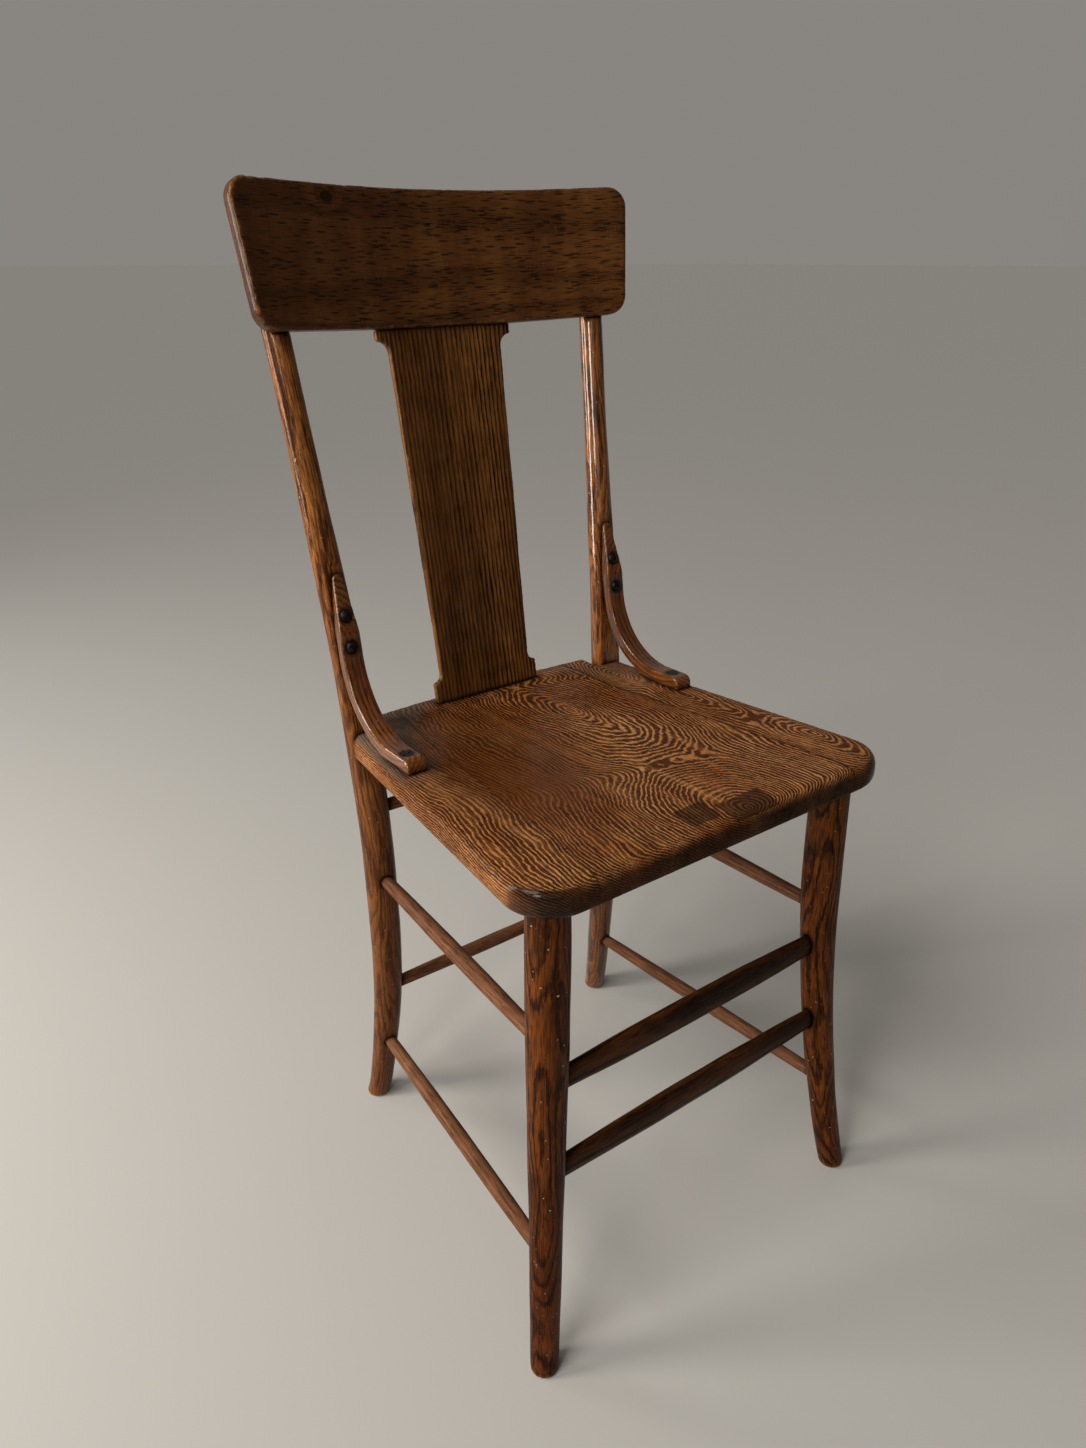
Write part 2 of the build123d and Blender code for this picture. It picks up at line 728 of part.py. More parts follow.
with BuildPart() as brace_post_screws:
    for side in SIDES.values():
        for distance in (brace_upper_screw, brace_lower_screw):
            dome_screw(post_screw_plane(side, distance), brace_depth(distance) - spot_face + screw_grip)
save(brace_post_screws.part, "brace_post_screws")

with BuildPart() as post_crest_screws:
    for side in SIDES.values():
        for rise in crest_screw_heights:
            dome_screw(crest_screw_plane(side, rise), crest_screw_length)
save(post_crest_screws.part, "post_crest_screws")

with BuildPart() as post_seat_screws:
    for side in SIDES.values():
        dome_screw(seat_end_screw_plane(side), seat_end_screw_length)
save(post_seat_screws.part, "post_seat_screws")

with BuildPart() as brace_seat_screws:
    for side in SIDES.values():
        head_plane = seat_screw_plane(side)
        with BuildSketch(head_plane):
            Circle(flat_head_diameter / 2)
        with BuildSketch(head_plane.offset(-flat_head_depth)):
            Circle(screw_diameter / 2)
        loft()
        slot_head(head_plane)
        with BuildSketch(head_plane.offset(-flat_head_depth)):
            Circle(screw_diameter / 2)
        extrude(amount=-(brace_thickness - flat_head_sunk - flat_head_depth + screw_grip))
save(brace_seat_screws.part, "brace_seat_screws")
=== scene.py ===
import bpy
import bmesh
import json
import math
import numpy as np
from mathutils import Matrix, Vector, noise
from mathutils.bvhtree import BVHTree


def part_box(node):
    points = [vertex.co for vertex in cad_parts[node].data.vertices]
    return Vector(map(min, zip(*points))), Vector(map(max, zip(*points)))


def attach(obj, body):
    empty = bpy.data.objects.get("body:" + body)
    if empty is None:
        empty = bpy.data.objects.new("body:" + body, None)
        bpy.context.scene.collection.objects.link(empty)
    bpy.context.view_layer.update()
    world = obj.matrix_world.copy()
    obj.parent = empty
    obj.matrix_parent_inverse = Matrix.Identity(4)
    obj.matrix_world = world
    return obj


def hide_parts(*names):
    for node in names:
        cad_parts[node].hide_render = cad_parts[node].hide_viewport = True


# High-back oak chair: the solids are dressed with worn, varnished oak. Metres, +Z up, the front faces -Y.
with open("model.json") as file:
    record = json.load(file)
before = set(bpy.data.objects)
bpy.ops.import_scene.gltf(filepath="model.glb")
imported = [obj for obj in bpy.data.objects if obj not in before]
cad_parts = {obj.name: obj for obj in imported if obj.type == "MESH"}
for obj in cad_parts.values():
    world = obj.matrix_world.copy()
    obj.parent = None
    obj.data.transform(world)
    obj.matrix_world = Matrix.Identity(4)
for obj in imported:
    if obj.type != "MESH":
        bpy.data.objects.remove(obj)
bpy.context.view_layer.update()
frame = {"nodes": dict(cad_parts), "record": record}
nodes = frame["nodes"]
slotOf = {part["node"]: part["material_slot"] for part in frame["record"]["subparts"]}
print("frame loaded,", len(nodes), "nodes")


def displayColor(text):  # '#rrggbb' as seen on a screen, turned into the light values that shaders use
    parts = [int(text[i:i + 2], 16) / 255 for i in (1, 3, 5)]
    return tuple(p / 12.92 if p <= 0.04045 else ((p + 0.055) / 1.055) ** 2.4 for p in parts) + (1.0,)


class Sock:  # an output socket that takes part in sums
    def __init__(self, web, socket):
        self.web = web
        self.socket = socket

    def calc(self, operation, *others):
        inputs = dict(enumerate((self,) + others))
        return self.web.add("ShaderNodeMath", {"operation": operation}, inputs)

    def __add__(self, other):
        return self.calc("ADD", other)

    def __sub__(self, other):
        return self.calc("SUBTRACT", other)

    def __rsub__(self, other):
        return self.web.add("ShaderNodeMath", {"operation": "SUBTRACT"}, {0: other, 1: self})

    def __mul__(self, other):
        return self.calc("MULTIPLY", other)

    def __truediv__(self, other):
        return self.calc("DIVIDE", other)

    def clamped(self):
        return self.calc("MAXIMUM", 0.0).calc("MINIMUM", 1.0)

    def sibling(self, name):  # another output of the same node
        return Sock(self.web, self.socket.node.outputs[name])


class Web:  # adds nodes to one tree
    def __init__(self, tree):
        self.tree = tree

    def add(self, kind, settings=None, sockets=None, out=0):
        node = self.tree.nodes.new(kind)
        for key, value in (settings or {}).items():
            if key == "stops":
                self.setStops(node.color_ramp, value)
            else:
                setattr(node, key, value)
        for key, value in (sockets or {}).items():
            if isinstance(value, Sock):
                self.tree.links.new(value.socket, node.inputs[key])
            else:
                node.inputs[key].default_value = value
        return Sock(self, node.outputs[out]) if node.outputs else None

    def setStops(self, ramp, stops):
        while len(ramp.elements) < len(stops):
            ramp.elements.new(0.5)
        for element, (place, level) in zip(ramp.elements, stops):
            element.position = place
            element.color = (level, level, level, 1.0)

    def ramp(self, value, stops):
        return self.add("ShaderNodeValToRGB", {"stops": stops}, {0: value})

    def rise(self, value, low, high):  # 0 up to low, 1 from high on
        return self.ramp(value, ((low, 0.0), (high, 1.0)))

    def mix(self, share, first, second):  # the numbers are the mix node's colour sockets
        return self.add("ShaderNodeMix", {"data_type": "RGBA"}, {0: share, 6: first, 7: second}, 2)

    def split(self, vector):
        parts = self.add("ShaderNodeSeparateXYZ", None, {0: vector})
        return [parts.sibling(axis) for axis in ("X", "Y", "Z")]

    def join(self, x, y, z):
        return self.add("ShaderNodeCombineXYZ", None, {0: x, 1: y, 2: z})

    def paint(self, sockets):  # the surface and the material's output
        surface = self.add("ShaderNodeBsdfPrincipled", None, sockets)
        self.add("ShaderNodeOutputMaterial", None, {"Surface": surface})


def emptyMaterial(name):  # a material and the web that adds its nodes
    material = bpy.data.materials.new(name)
    material.use_nodes = True
    material.node_tree.nodes.clear()
    return material, Web(material.node_tree)


# Oak: growth rings, open pores, stain, wear on the edges, and dirt with painted shade in the joints
oakBase = {
    "pale": "#8a5a30", "warm": "#7a4620", "brown": "#4a2a12", "dark": "#1d0d05", "bare": "#8a5c36",
    "sootAndShade": "#0d0603", "speckColor": "#b9a88f", "patchColor": "#2a1a10", "marginColor": "#3a2a1f",
    "ring": 0.0042, "ripple": (0.006, 0.03, 0.0006), "ringDepth": 0.7, "ridge": 0.5,
    "profile": ((0.0, 0.9), (0.2, 0.7), (0.5, 0.1), (0.85, 0.0), (1.0, 0.7)),
    "pore": (0.0012, 0.016), "poreFrom": 0.62, "poreDepth": 0.85, "dash": 0.0, "dashSize": (0.0026, 0.018),
    "toneSize": (0.05, 0.22), "mottle": 0.35, "flame": 0.0, "fleck": 0.0, "specks": 0.0,
    "rough": 0.36, "coat": 0.35, "coatIor": 1.35, "shine": 0.0, "bump": 0.0004, "wear": 0.6, "dirtAndShade": 0.9,
}
oakNoise = {  # sizes across and along the grain, or a scale alike in all directions
    "ringTone": (0.012, 0.10), "fibre": (0.0004, 0.02), "flame": (0.0075, 0.055), "fleck": (0.009, 0.003),
    "smudge": 38.0, "breakUp": 240.0, "specks": 330.0,
}
oakFade = {  # where in its noise each effect starts, and where it is full
    "tone": (0.34, 0.66), "smudge": (0.38, 0.66), "flame": (0.53, 0.6), "fleck": (0.64, 0.74),
    "worn": (0.42, 0.8), "patch": (0.42, 0.54), "specks": (0.75, 0.78),
}
oakShare = {  # how strongly each effect shows, the same for every oak
    "ringGain": 2.0, "ringLeast": 0.05, "calm": 0.3, "calmMost": 1.35, "poreFade": 0.06, "fibre": 0.7,
    "fibreLeast": 0.15, "burnish": 0.52, "burnishMost": 0.76, "burnishLines": 0.32, "edgeBreak": 0.9,
    "marginBreak": 0.5, "margin": 0.8, "patchBreak": 0.4, "patch": 0.75, "dirtShadeBreak": 0.8, "dirtShadeLeast": 0.6,
}


def makeOak(name, changes):
    look = dict(oakBase, **changes)
    shade = {key: displayColor(value) for key, value in look.items() if isinstance(value, str)}
    material, web = emptyMaterial(name)
    grain = web.add("ShaderNodeAttribute", {"attribute_name": "grain"}, None, "Vector")
    masks = ("rings", "edge", "grime", "patch", "polish", "margin")
    rings, edge, grime, patch, polish, margin = (
        web.add("ShaderNodeAttribute", {"attribute_name": mask}, None, "Fac") for mask in masks)

    def stretched(across, along, shift=0.0):  # places drawn together, so that a pattern follows the grain
        scale = (1 / across, 1 / along, 1 / across)
        place = {"Vector": grain, "Location": (shift, shift, shift), "Scale": scale}
        return web.add("ShaderNodeMapping", None, place)

    def drawn(across, along, shift, detail=2.0, roughness=0.5):  # noise drawn out along the grain
        place = stretched(across, along, shift)
        values = {"Vector": place, "Scale": 1.0, "Detail": detail, "Roughness": roughness}
        return web.add("ShaderNodeTexNoise", None, values)

    def scattered(scale, detail, roughness):  # noise alike in all directions
        values = {"Vector": grain, "Scale": scale, "Detail": detail, "Roughness": roughness}
        return web.add("ShaderNodeTexNoise", None, values)

    # growth rings, calmer where the wood is burnished and where shade is painted
    rippleAcross, rippleAlong, rippleSize = look["ripple"]
    ripple = drawn(rippleAcross, rippleAlong, shift=7.7, detail=3.0, roughness=0.6) - 0.5
    ringPlace = ((rings + ripple * (rippleSize * 2)) / look["ring"]).calc("FRACT")
    ringTone = drawn(*oakNoise["ringTone"], shift=21.0) * oakShare["ringGain"] + oakShare["ringLeast"]
    calm = 1.0 - polish.calc("MINIMUM", oakShare["calmMost"]) * oakShare["calm"]
    early = (web.ramp(ringPlace, look["profile"]) * ringTone * calm).clamped()

    # open pores, fibres and stain
    poreAcross, poreAlong = look["pore"]
    fine = drawn(poreAcross, poreAlong, shift=11.0, detail=0.0)
    finer = drawn(poreAcross * 0.8, poreAlong * 1.3, shift=13.0, detail=0.0)
    pore = web.rise(fine.calc("MAXIMUM", finer), look["poreFrom"], look["poreFrom"] + oakShare["poreFade"])
    pores = pore * (early * 0.5 + 0.5) * calm
    if look["dash"]:  # short dark dashes, one to a cell
        cells = {"Vector": stretched(*look["dashSize"]), "Scale": 1.0}
        dashes = web.ramp(web.add("ShaderNodeTexVoronoi", None, cells), ((0.2, 1.0), (0.36, 0.0)))
        pores = pores.calc("MAXIMUM", dashes * look["dash"])
    fibre = drawn(*oakNoise["fibre"], shift=17.0, detail=3.0) - 0.5
    tone = web.rise(drawn(*look["toneSize"], shift=29.0, detail=3.0), *oakFade["tone"])
    smudge = scattered(oakNoise["smudge"], detail=4.0, roughness=0.6)
    smudgeMask = web.rise(smudge, *oakFade["smudge"])

    color = web.mix(tone, shade["pale"], shade["warm"])
    color = web.mix((early * look["ringDepth"]).clamped(), color, shade["brown"])
    color = web.mix((fibre * oakShare["fibre"] + oakShare["fibreLeast"]).clamped(), color, shade["brown"])
    if look["flame"]:  # dark jagged tongues along the stick
        tongues = drawn(*oakNoise["flame"], shift=53.0, detail=3.0, roughness=0.55)
        flames = web.rise(tongues, *oakFade["flame"])
        color = web.mix(flames * look["flame"], color, shade["brown"])
    color = web.mix((pores * look["poreDepth"]).clamped(), color, shade["dark"])
    color = web.mix(smudgeMask * look["mottle"], color, shade["brown"])
    if look["fleck"]:  # short ray flecks across the grain
        flecks = web.rise(drawn(*oakNoise["fleck"], shift=41.0, detail=1.0), *oakFade["fleck"])
        color = web.mix(flecks * look["fleck"], color, shade["bare"])

    # burnished wood is darker, and so is the painted shade that shares its mask, with the ring lines left
    burnish = (polish * oakShare["burnish"]).calc("MINIMUM", oakShare["burnishMost"])
    color = web.mix(burnish, color, shade.get("polishAndShadeColor", shade["brown"]))
    color = web.mix((early * polish * oakShare["burnishLines"]).clamped(), color, shade["dark"])

    # edges rubbed through the varnish, dull margins, patches, and dirt with painted shade, all broken up by
    # noise
    breakUp = scattered(oakNoise["breakUp"], detail=3.0, roughness=0.65)
    worn = web.rise(edge + (breakUp - 0.5) * oakShare["edgeBreak"], *oakFade["worn"]) * look["wear"]
    color = web.mix(worn, color, shade["bare"])
    marginMask = (margin + (smudge - 0.5) * margin * oakShare["marginBreak"]).clamped()
    color = web.mix(marginMask * oakShare["margin"], color, shade["marginColor"])
    patchMask = web.rise(patch + (smudge - 0.5) * oakShare["patchBreak"], *oakFade["patch"])
    color = web.mix(patchMask * oakShare["patch"], color, shade["patchColor"])
    # dirt and painted shade where other pieces are close
    dirtShadeBreak = breakUp * oakShare["dirtShadeBreak"] + oakShare["dirtShadeLeast"]
    dirtAndShadeMask = (grime * look["dirtAndShade"] * dirtShadeBreak).clamped()
    color = web.mix(dirtAndShadeMask, color, shade["sootAndShade"])
    if look["specks"]:
        spots = web.rise(scattered(oakNoise["specks"], detail=1.0, roughness=0.5), *oakFade["specks"])
        color = web.mix(spots * look["specks"], color, shade["speckColor"])

    # varnish
    dull = dirtAndShadeMask * 0.3 + patchMask * 0.25 + marginMask * 0.3 + worn * 0.15
    rough = pores * 0.2 + smudgeMask * 0.08 + dull + look["rough"] - polish * 0.1
    coat = (polish * look["shine"] + look["coat"]) * (1.0 - dull * 2.0).clamped()
    height = fibre * 0.2 - pores * 0.8 - early * look["ridge"] + (smudge - 0.5) * 0.6
    relief = {"Strength": 1.0, "Distance": look["bump"], "Height": height}
    web.paint({
        "Base Color": color, "Roughness": rough.clamped(), "Coat Weight": coat.clamped(),
        "Normal": web.add("ShaderNodeBump", None, relief, "Normal"),
        "Coat Roughness": 0.12, "Coat IOR": look["coatIor"], "IOR": 1.45, "Specular IOR Level": 0.04,
    })
    return material


# Meshes and the values at their vertices
meshSetup = {
    "weld": 2e-6, "keep": 0.4, "edgeRounds": 3, "edgeGain": 6.0, "grimeShadeReach": 0.006, "grimeShadeFall": 1.7,
    "scuff": 0.3, "scuffHeights": (0.004, 0.03), "noiseStep": (3.7, 1.3, 2.9),
}


def asArray(mesh, field="co"):
    values = np.empty(len(mesh.vertices) * 3)
    mesh.vertices.foreach_get(field, values)
    return values.reshape(-1, 3)


def setPlaces(mesh, places):
    mesh.vertices.foreach_set("co", places.ravel())
    mesh.update()


def store(mesh, name, values):  # one value or vector at each vertex
    values = np.asarray(values, np.float32)
    kind = "FLOAT_VECTOR" if values.ndim == 2 else "FLOAT"
    layer = mesh.attributes.get(name) or mesh.attributes.new(name, kind, "POINT")
    layer.data.foreach_set("vector" if values.ndim == 2 else "value", values.ravel())


def stored(mesh, name):
    layer = mesh.attributes[name]
    isVector = layer.data_type == "FLOAT_VECTOR"
    values = np.empty(len(mesh.vertices) * (3 if isVector else 1))
    layer.data.foreach_get("vector" if isVector else "value", values)
    return values.reshape(-1, 3) if isVector else values


def newPiece(name, mesh):
    piece = bpy.data.objects.new(name, mesh)
    bpy.context.scene.collection.objects.link(piece)
    return piece


def bake(piece):  # the modifiers' result becomes the piece's own mesh
    graph = bpy.context.evaluated_depsgraph_get()
    done = bpy.data.meshes.new_from_object(piece.evaluated_get(graph))
    piece.modifiers.clear()
    piece.data = done
    return done


def mergedCopy(*nodeNames):
    work = bmesh.new()
    for nodeName in nodeNames:
        work.from_mesh(nodes[nodeName].data)
    bmesh.ops.remove_doubles(work, verts=work.verts, dist=meshSetup["weld"])
    mesh = bpy.data.meshes.new(nodeNames[0])
    work.to_mesh(mesh)
    work.free()
    return mesh


def evenCopy(pieceName, nodeNames, setup):  # even faces all over, edges eased by years of hands
    piece = newPiece(pieceName, mergedCopy(*nodeNames))
    grid = piece.modifiers.new("even", "REMESH")
    grid.mode = "VOXEL"
    grid.voxel_size = setup["voxel"]
    soften = piece.modifiers.new("ease", "SMOOTH")
    soften.factor = 0.5
    soften.iterations = setup["ease"]
    bake(piece).shade_smooth()
    return piece


def neighbours(mesh):
    pairs = np.empty(len(mesh.edges) * 2, np.int64)
    mesh.edges.foreach_get("vertices", pairs)
    return pairs.reshape(-1, 2)


def meanAround(values, pairs):  # mean of each vertex's neighbours
    count = len(values)
    total = np.maximum(np.bincount(pairs.ravel(), minlength=count), 1)
    around = np.bincount(pairs[:, 0], values[pairs[:, 1]], count)
    around += np.bincount(pairs[:, 1], values[pairs[:, 0]], count)
    return around / total


def spread(values, pairs, rounds):  # average with the neighbours, so many times
    for _ in range(rounds):
        values = meshSetup["keep"] * values + (1 - meshSetup["keep"]) * meanAround(values, pairs)
    return values


def edgeMask(mesh):  # how far each vertex stands out from its neighbours
    places = asArray(mesh)
    pairs = neighbours(mesh)
    middle = np.column_stack([meanAround(places[:, axis], pairs) for axis in range(3)])
    length = np.linalg.norm(places[pairs[:, 0]] - places[pairs[:, 1]], axis=1).mean()
    out = ((places - middle) * asArray(mesh, "normal")).sum(1) / length
    return np.clip(spread(out, pairs, meshSetup["edgeRounds"]) * meshSetup["edgeGain"], 0, 1)


solidTrees = {}


def treeOf(nodeName):
    if nodeName not in solidTrees:
        mesh = nodes[nodeName].data
        mesh.calc_loop_triangles()
        faces = [tuple(t.vertices) for t in mesh.loop_triangles]
        solidTrees[nodeName] = BVHTree.FromPolygons([v.co for v in mesh.vertices], faces)
    return solidTrees[nodeName]


def grimeAndShadeMask(mesh, own):  # dirt and painted shade where another piece is close
    reach = meshSetup["grimeShadeReach"]
    places = asArray(mesh)
    mask = np.zeros(len(places))
    for other in nodes:
        if other in own:
            continue
        low, high = (np.array(corner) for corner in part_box(other))
        near = np.flatnonzero(((places > low - reach) & (places < high + reach)).all(1))
        tree = treeOf(other) if len(near) else None
        for index in near:
            distance = tree.find_nearest(Vector(places[index]), reach)[3]
            if distance is not None:
                mask[index] = max(mask[index], 1 - distance / reach)
    return mask ** meshSetup["grimeShadeFall"]


def ramped(values, low, high):
    share = np.clip((values - low) / (high - low), 0, 1)
    return share * share * (3 - 2 * share)


def dress(mesh, own, grain, rings, extra=None):  # the values at each vertex that the oak reads
    masks = {"patch": 0.0, "polish": 0.0, "margin": 0.0}
    masks.update(extra or {})
    store(mesh, "grain", grain)
    store(mesh, "rings", rings)
    scuffed = 1 - ramped(asArray(mesh)[:, 2], *meshSetup["scuffHeights"])  # the feet rub on the floor
    store(mesh, "edge", edgeMask(mesh) + scuffed * meshSetup["scuff"])
    # dirt and painted shade near the other pieces
    store(mesh, "grime", grimeAndShadeMask(mesh, own))
    for name, values in masks.items():
        store(mesh, name, np.zeros(len(mesh.vertices)) + values)


def claim(piece, nodeName, material):  # the piece takes its node's place
    piece.data.materials.clear()
    piece.data.materials.append(material)
    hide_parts(nodeName)
    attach(piece, "root")


def wander(places, size, seed):  # smooth noise from about -1 to 1, the size one number or one for each axis
    shift = np.array(meshSetup["noiseStep"]) * (seed + 1)
    return np.array([noise.noise(point) for point in (places / np.array(size) + shift).tolist()])


def unevenness(places, setup, seed):
    return wander(places, setup["unevenSize"], seed) * setup["unevenDepth"]


def pushOut(mesh, amount):
    setPlaces(mesh, asArray(mesh) + asArray(mesh, "normal") * amount[:, None])


def ringsRound(grain, setup, seed):  # distance from the pith, stirred by noise
    radius = np.hypot(grain[:, 0] - setup["pith"][0], grain[:, 2] - setup["pith"][1])
    return radius + wander(grain[:, [0, 2, 1]], setup["swirlSize"], seed) * setup["swirlDepth"]


def ovalPlace(places, centre, radii):  # 0 in the middle of an oval, 1 on its border
    return np.hypot((places[:, 0] - centre[0]) / radii[0], (places[:, 1] - centre[1]) / radii[1])


def middleOf(places):
    return (places.min(0) + places.max(0)) / 2


def directionOf(places):  # along a long piece
    direction = np.linalg.svd(places - places.mean(0), full_matrices=False)[2][0]
    return direction * (1 if direction[np.argmax(np.abs(direction))] > 0 else -1)


def cosAndSin(degrees):
    return math.cos(math.radians(degrees)), math.sin(math.radians(degrees))


def newTree(name, inputs):  # an empty geometry tree with these inputs
    tree = bpy.data.node_groups.new(name, "GeometryNodeTree")
    for label, kind in inputs.items():
        tree.interface.new_socket(label, in_out="INPUT", socket_type="NodeSocket" + kind)
    tree.interface.new_socket("Geometry", in_out="OUTPUT", socket_type="NodeSocketGeometry")
    return tree


def grow(piece, tree, values):  # run a geometry tree on a piece and keep the plain mesh
    modifier = piece.modifiers.new("grow", "NODES")
    modifier.node_group = tree
    for item in tree.interface.items_tree:
        if item.in_out == "INPUT" and item.name in values:
            modifier[item.identifier] = values[item.name]
    return bake(piece)


# Camera at the photo's viewing angle
cameraSetup = {
    "place": (-0.4924, -0.6442, 0.8615), "turn": (64.19, 0.0, -35.6), "focal": 25.0, "filmHeight": 36.0,
}
cameraData = bpy.data.cameras.new("camera")
cameraData.sensor_fit = "VERTICAL"
cameraData.sensor_height = cameraSetup["filmHeight"]
cameraData.lens = cameraSetup["focal"]
cameraObject = bpy.data.objects.new("camera", cameraData)
cameraObject.location = cameraSetup["place"]
cameraObject.rotation_euler = [math.radians(a) for a in cameraSetup["turn"]]
bpy.context.scene.collection.objects.link(cameraObject)
bpy.context.scene.camera = cameraObject

# Soft studio light: broad daylight from the upper left, three softboxes on the left and a weak fill
lightTarget = Vector((0.0, 0.0, 0.5))
lights = {
    "daylight": {"place": (-1.7, -0.1, 2.2), "kind": "SUN", "size": 28.0, "power": 1.85,
                 "tint": (1.0, 0.97, 0.92)},
    "tallSoftbox": {"place": (-1.6, 0.7, 0.95), "kind": "AREA", "size": (0.45, 1.3), "power": 30.0,
                    "tint": (1.0, 0.94, 0.86)},
    "leftSoftbox": {"place": (-1.6, -0.9, 1.2), "kind": "AREA", "size": (0.42, 0.42), "power": 11.0,
                    "tint": (1.0, 0.95, 0.88)},
    "rimSoftbox": {"place": (-1.5, 2.0, 0.9), "kind": "AREA", "size": (0.5, 0.9), "power": 14.0,
                   "tint": (1.0, 0.97, 0.93)},
    "frontFill": {"place": (-1.5, -2.3, 1.9), "kind": "AREA", "size": (1.8, 1.8), "power": 6.0,
                  "tint": (1.0, 0.98, 0.95)},
}
for lightName, setup in lights.items():
    lamp = bpy.data.lights.new(lightName, setup["kind"])
    if setup["kind"] == "SUN":
        lamp.angle = math.radians(setup["size"])
    else:
        lamp.shape = "RECTANGLE"
        lamp.size, lamp.size_y = setup["size"]
    lamp.energy = setup["power"]
    lamp.color = setup["tint"]
    lampObject = bpy.data.objects.new(lightName, lamp)
    lampObject.location = setup["place"]
    aim = lightTarget - Vector(setup["place"])
    lampObject.rotation_euler = aim.to_track_quat("-Z", "Y").to_euler()
    lampObject.visible_camera = False
    bpy.context.scene.collection.objects.link(lampObject)

# Plain sky, dimmer in front of the chair
worldSetup = {"color": (0.82, 0.78, 0.725, 1.0), "strength": 0.305, "front": 0.4, "fade": (0.35, 0.75)}
world = bpy.data.worlds.new("studio")
bpy.context.scene.world = world
world.use_nodes = True
world.node_tree.nodes.clear()
worldWeb = Web(world.node_tree)
skyBack = worldWeb.split(worldWeb.add("ShaderNodeTexCoord", None, None, "Generated"))[1]
skyStops = tuple(zip(worldSetup["fade"], (worldSetup["front"], 1.0)))
skyShare = worldWeb.ramp(skyBack * 0.5 + 0.5, skyStops)
sky = worldWeb.mix(skyShare, (0.0, 0.0, 0.0, 1.0), worldSetup["color"])
skyLight = worldWeb.add("ShaderNodeBackground", None, {"Color": sky, "Strength": worldSetup["strength"]})
worldWeb.add("ShaderNodeOutputWorld", None, {"Surface": skyLight})
bpy.context.scene.view_settings.view_transform = "Standard"

# Plain pale floor
floorSetup = {
    "radius": 40.0, "sides": 96, "drop": 0.0003, "color": "#a9a7a3", "rough": 0.8,
    "cloudScale": 6.0, "cloudDepth": 0.06, "cloudShade": 0.7,
}
floorMesh = bpy.data.meshes.new("floor")
floorWork = bmesh.new()
bmesh.ops.create_circle(floorWork, cap_ends=True, segments=floorSetup["sides"], radius=floorSetup["radius"])
floorWork.to_mesh(floorMesh)
floorWork.free()
floorMaterial, floorWeb = emptyMaterial("floorPaint")
floorPlace = floorWeb.add("ShaderNodeTexCoord", None, None, "Object")
floorGrey = displayColor(floorSetup["color"])
floorCloud = tuple(c * floorSetup["cloudShade"] for c in floorGrey[:3]) + (1.0,)
floorNoise = {"Vector": floorPlace, "Scale": floorSetup["cloudScale"], "Detail": 5.0}
floorShare = floorWeb.add("ShaderNodeTexNoise", None, floorNoise) * floorSetup["cloudDepth"]
floorShade = floorWeb.mix(floorShare, floorGrey, floorCloud)
floorWeb.paint({"Base Color": floorShade, "Roughness": floorSetup["rough"]})
floorMesh.materials.append(floorMaterial)
floorObject = newPiece("floor", floorMesh)
floorObject.location.z = -floorSetup["drop"]
print("camera, lights and floor set")


# Legs and posts: round sticks, the grain follows their bend
stickSetup = {
    "voxel": 0.0015, "ease": 5, "unevenSize": 0.05, "unevenDepth": 0.0005,
    "pith": (0.020, 0.026), "swirlSize": (0.02, 0.02, 0.09), "swirlDepth": 0.0095,
    "levels": 70, "levelReach": 0.75, "softLevels": 5, "turnStep": 0.4, "alongStep": 1.37,
    "darkBelow": (0.38, 0.50), "darkness": 0.9,
}
# The legs' oak is dark: painted shade under the seat.
legLook = {
    "pale": "#7c4214", "warm": "#5a2b09", "brown": "#271003", "dark": "#0c0301", "bare": "#875a2c",
    "ring": 0.0034, "ripple": (0.003, 0.009, 0.0011), "ringDepth": 0.9,
    "profile": ((0.0, 1.0), (0.12, 0.9), (0.32, 0.2), (0.8, 0.0), (1.0, 0.9)),
    "pore": (0.0009, 0.016), "poreFrom": 0.59, "poreDepth": 0.85, "dash": 0.45, "dashSize": (0.0018, 0.013),
    "flame": 0.5, "specks": 0.7, "rough": 0.36, "coat": 0.18, "bump": 0.0003, "wear": 0.4,
}
# The posts' copy is paler: painted light above the seat.
postLook = dict(legLook, **{
    "pale": "#ad6f36", "warm": "#8a5020", "brown": "#42200b", "bare": "#a87440", "ringDepth": 0.7,
    "flame": 0.85, "coat": 0.4,
})
# The right post's copy is paler still, painted light, and glossier.
litGlossyLook = dict(postLook, **{"pale": "#bd7430", "warm": "#9c5a1e", "coat": 1.0, "coatIor": 1.5})
legOak = makeOak("legOak", legLook)
stickOaks = {
    "front_leg_left": legOak,
    "front_leg_right": legOak,
    "back_post_left": makeOak("postOak", postLook),
    "back_post_right": makeOak("litGlossyPostOak", litGlossyLook),
}


def stickGrain(places, seed):  # across, along and deep in a stick whose centre line bends
    height = places[:, 2]
    marks = np.linspace(height.min(), height.max(), stickSetup["levels"])
    half = (marks[1] - marks[0]) * stickSetup["levelReach"]
    centers = np.array([middleOf(places[np.abs(height - mark) < half]) for mark in marks])
    window = stickSetup["softLevels"]
    margins = ((window // 2, window // 2), (0, 0))
    padded = np.pad(centers[:, :2], margins, mode="reflect", reflect_type="odd")
    offsets = []
    for axis in range(2):
        line = np.convolve(padded[:, axis], np.ones(window) / window, "valid")
        offsets.append(places[:, axis] - np.interp(height, marks, line))
    turn = seed * stickSetup["turnStep"]
    across = offsets[0] * math.cos(turn) - offsets[1] * math.sin(turn)
    depth = offsets[0] * math.sin(turn) + offsets[1] * math.cos(turn)
    return np.column_stack([across, height + seed * stickSetup["alongStep"], depth])


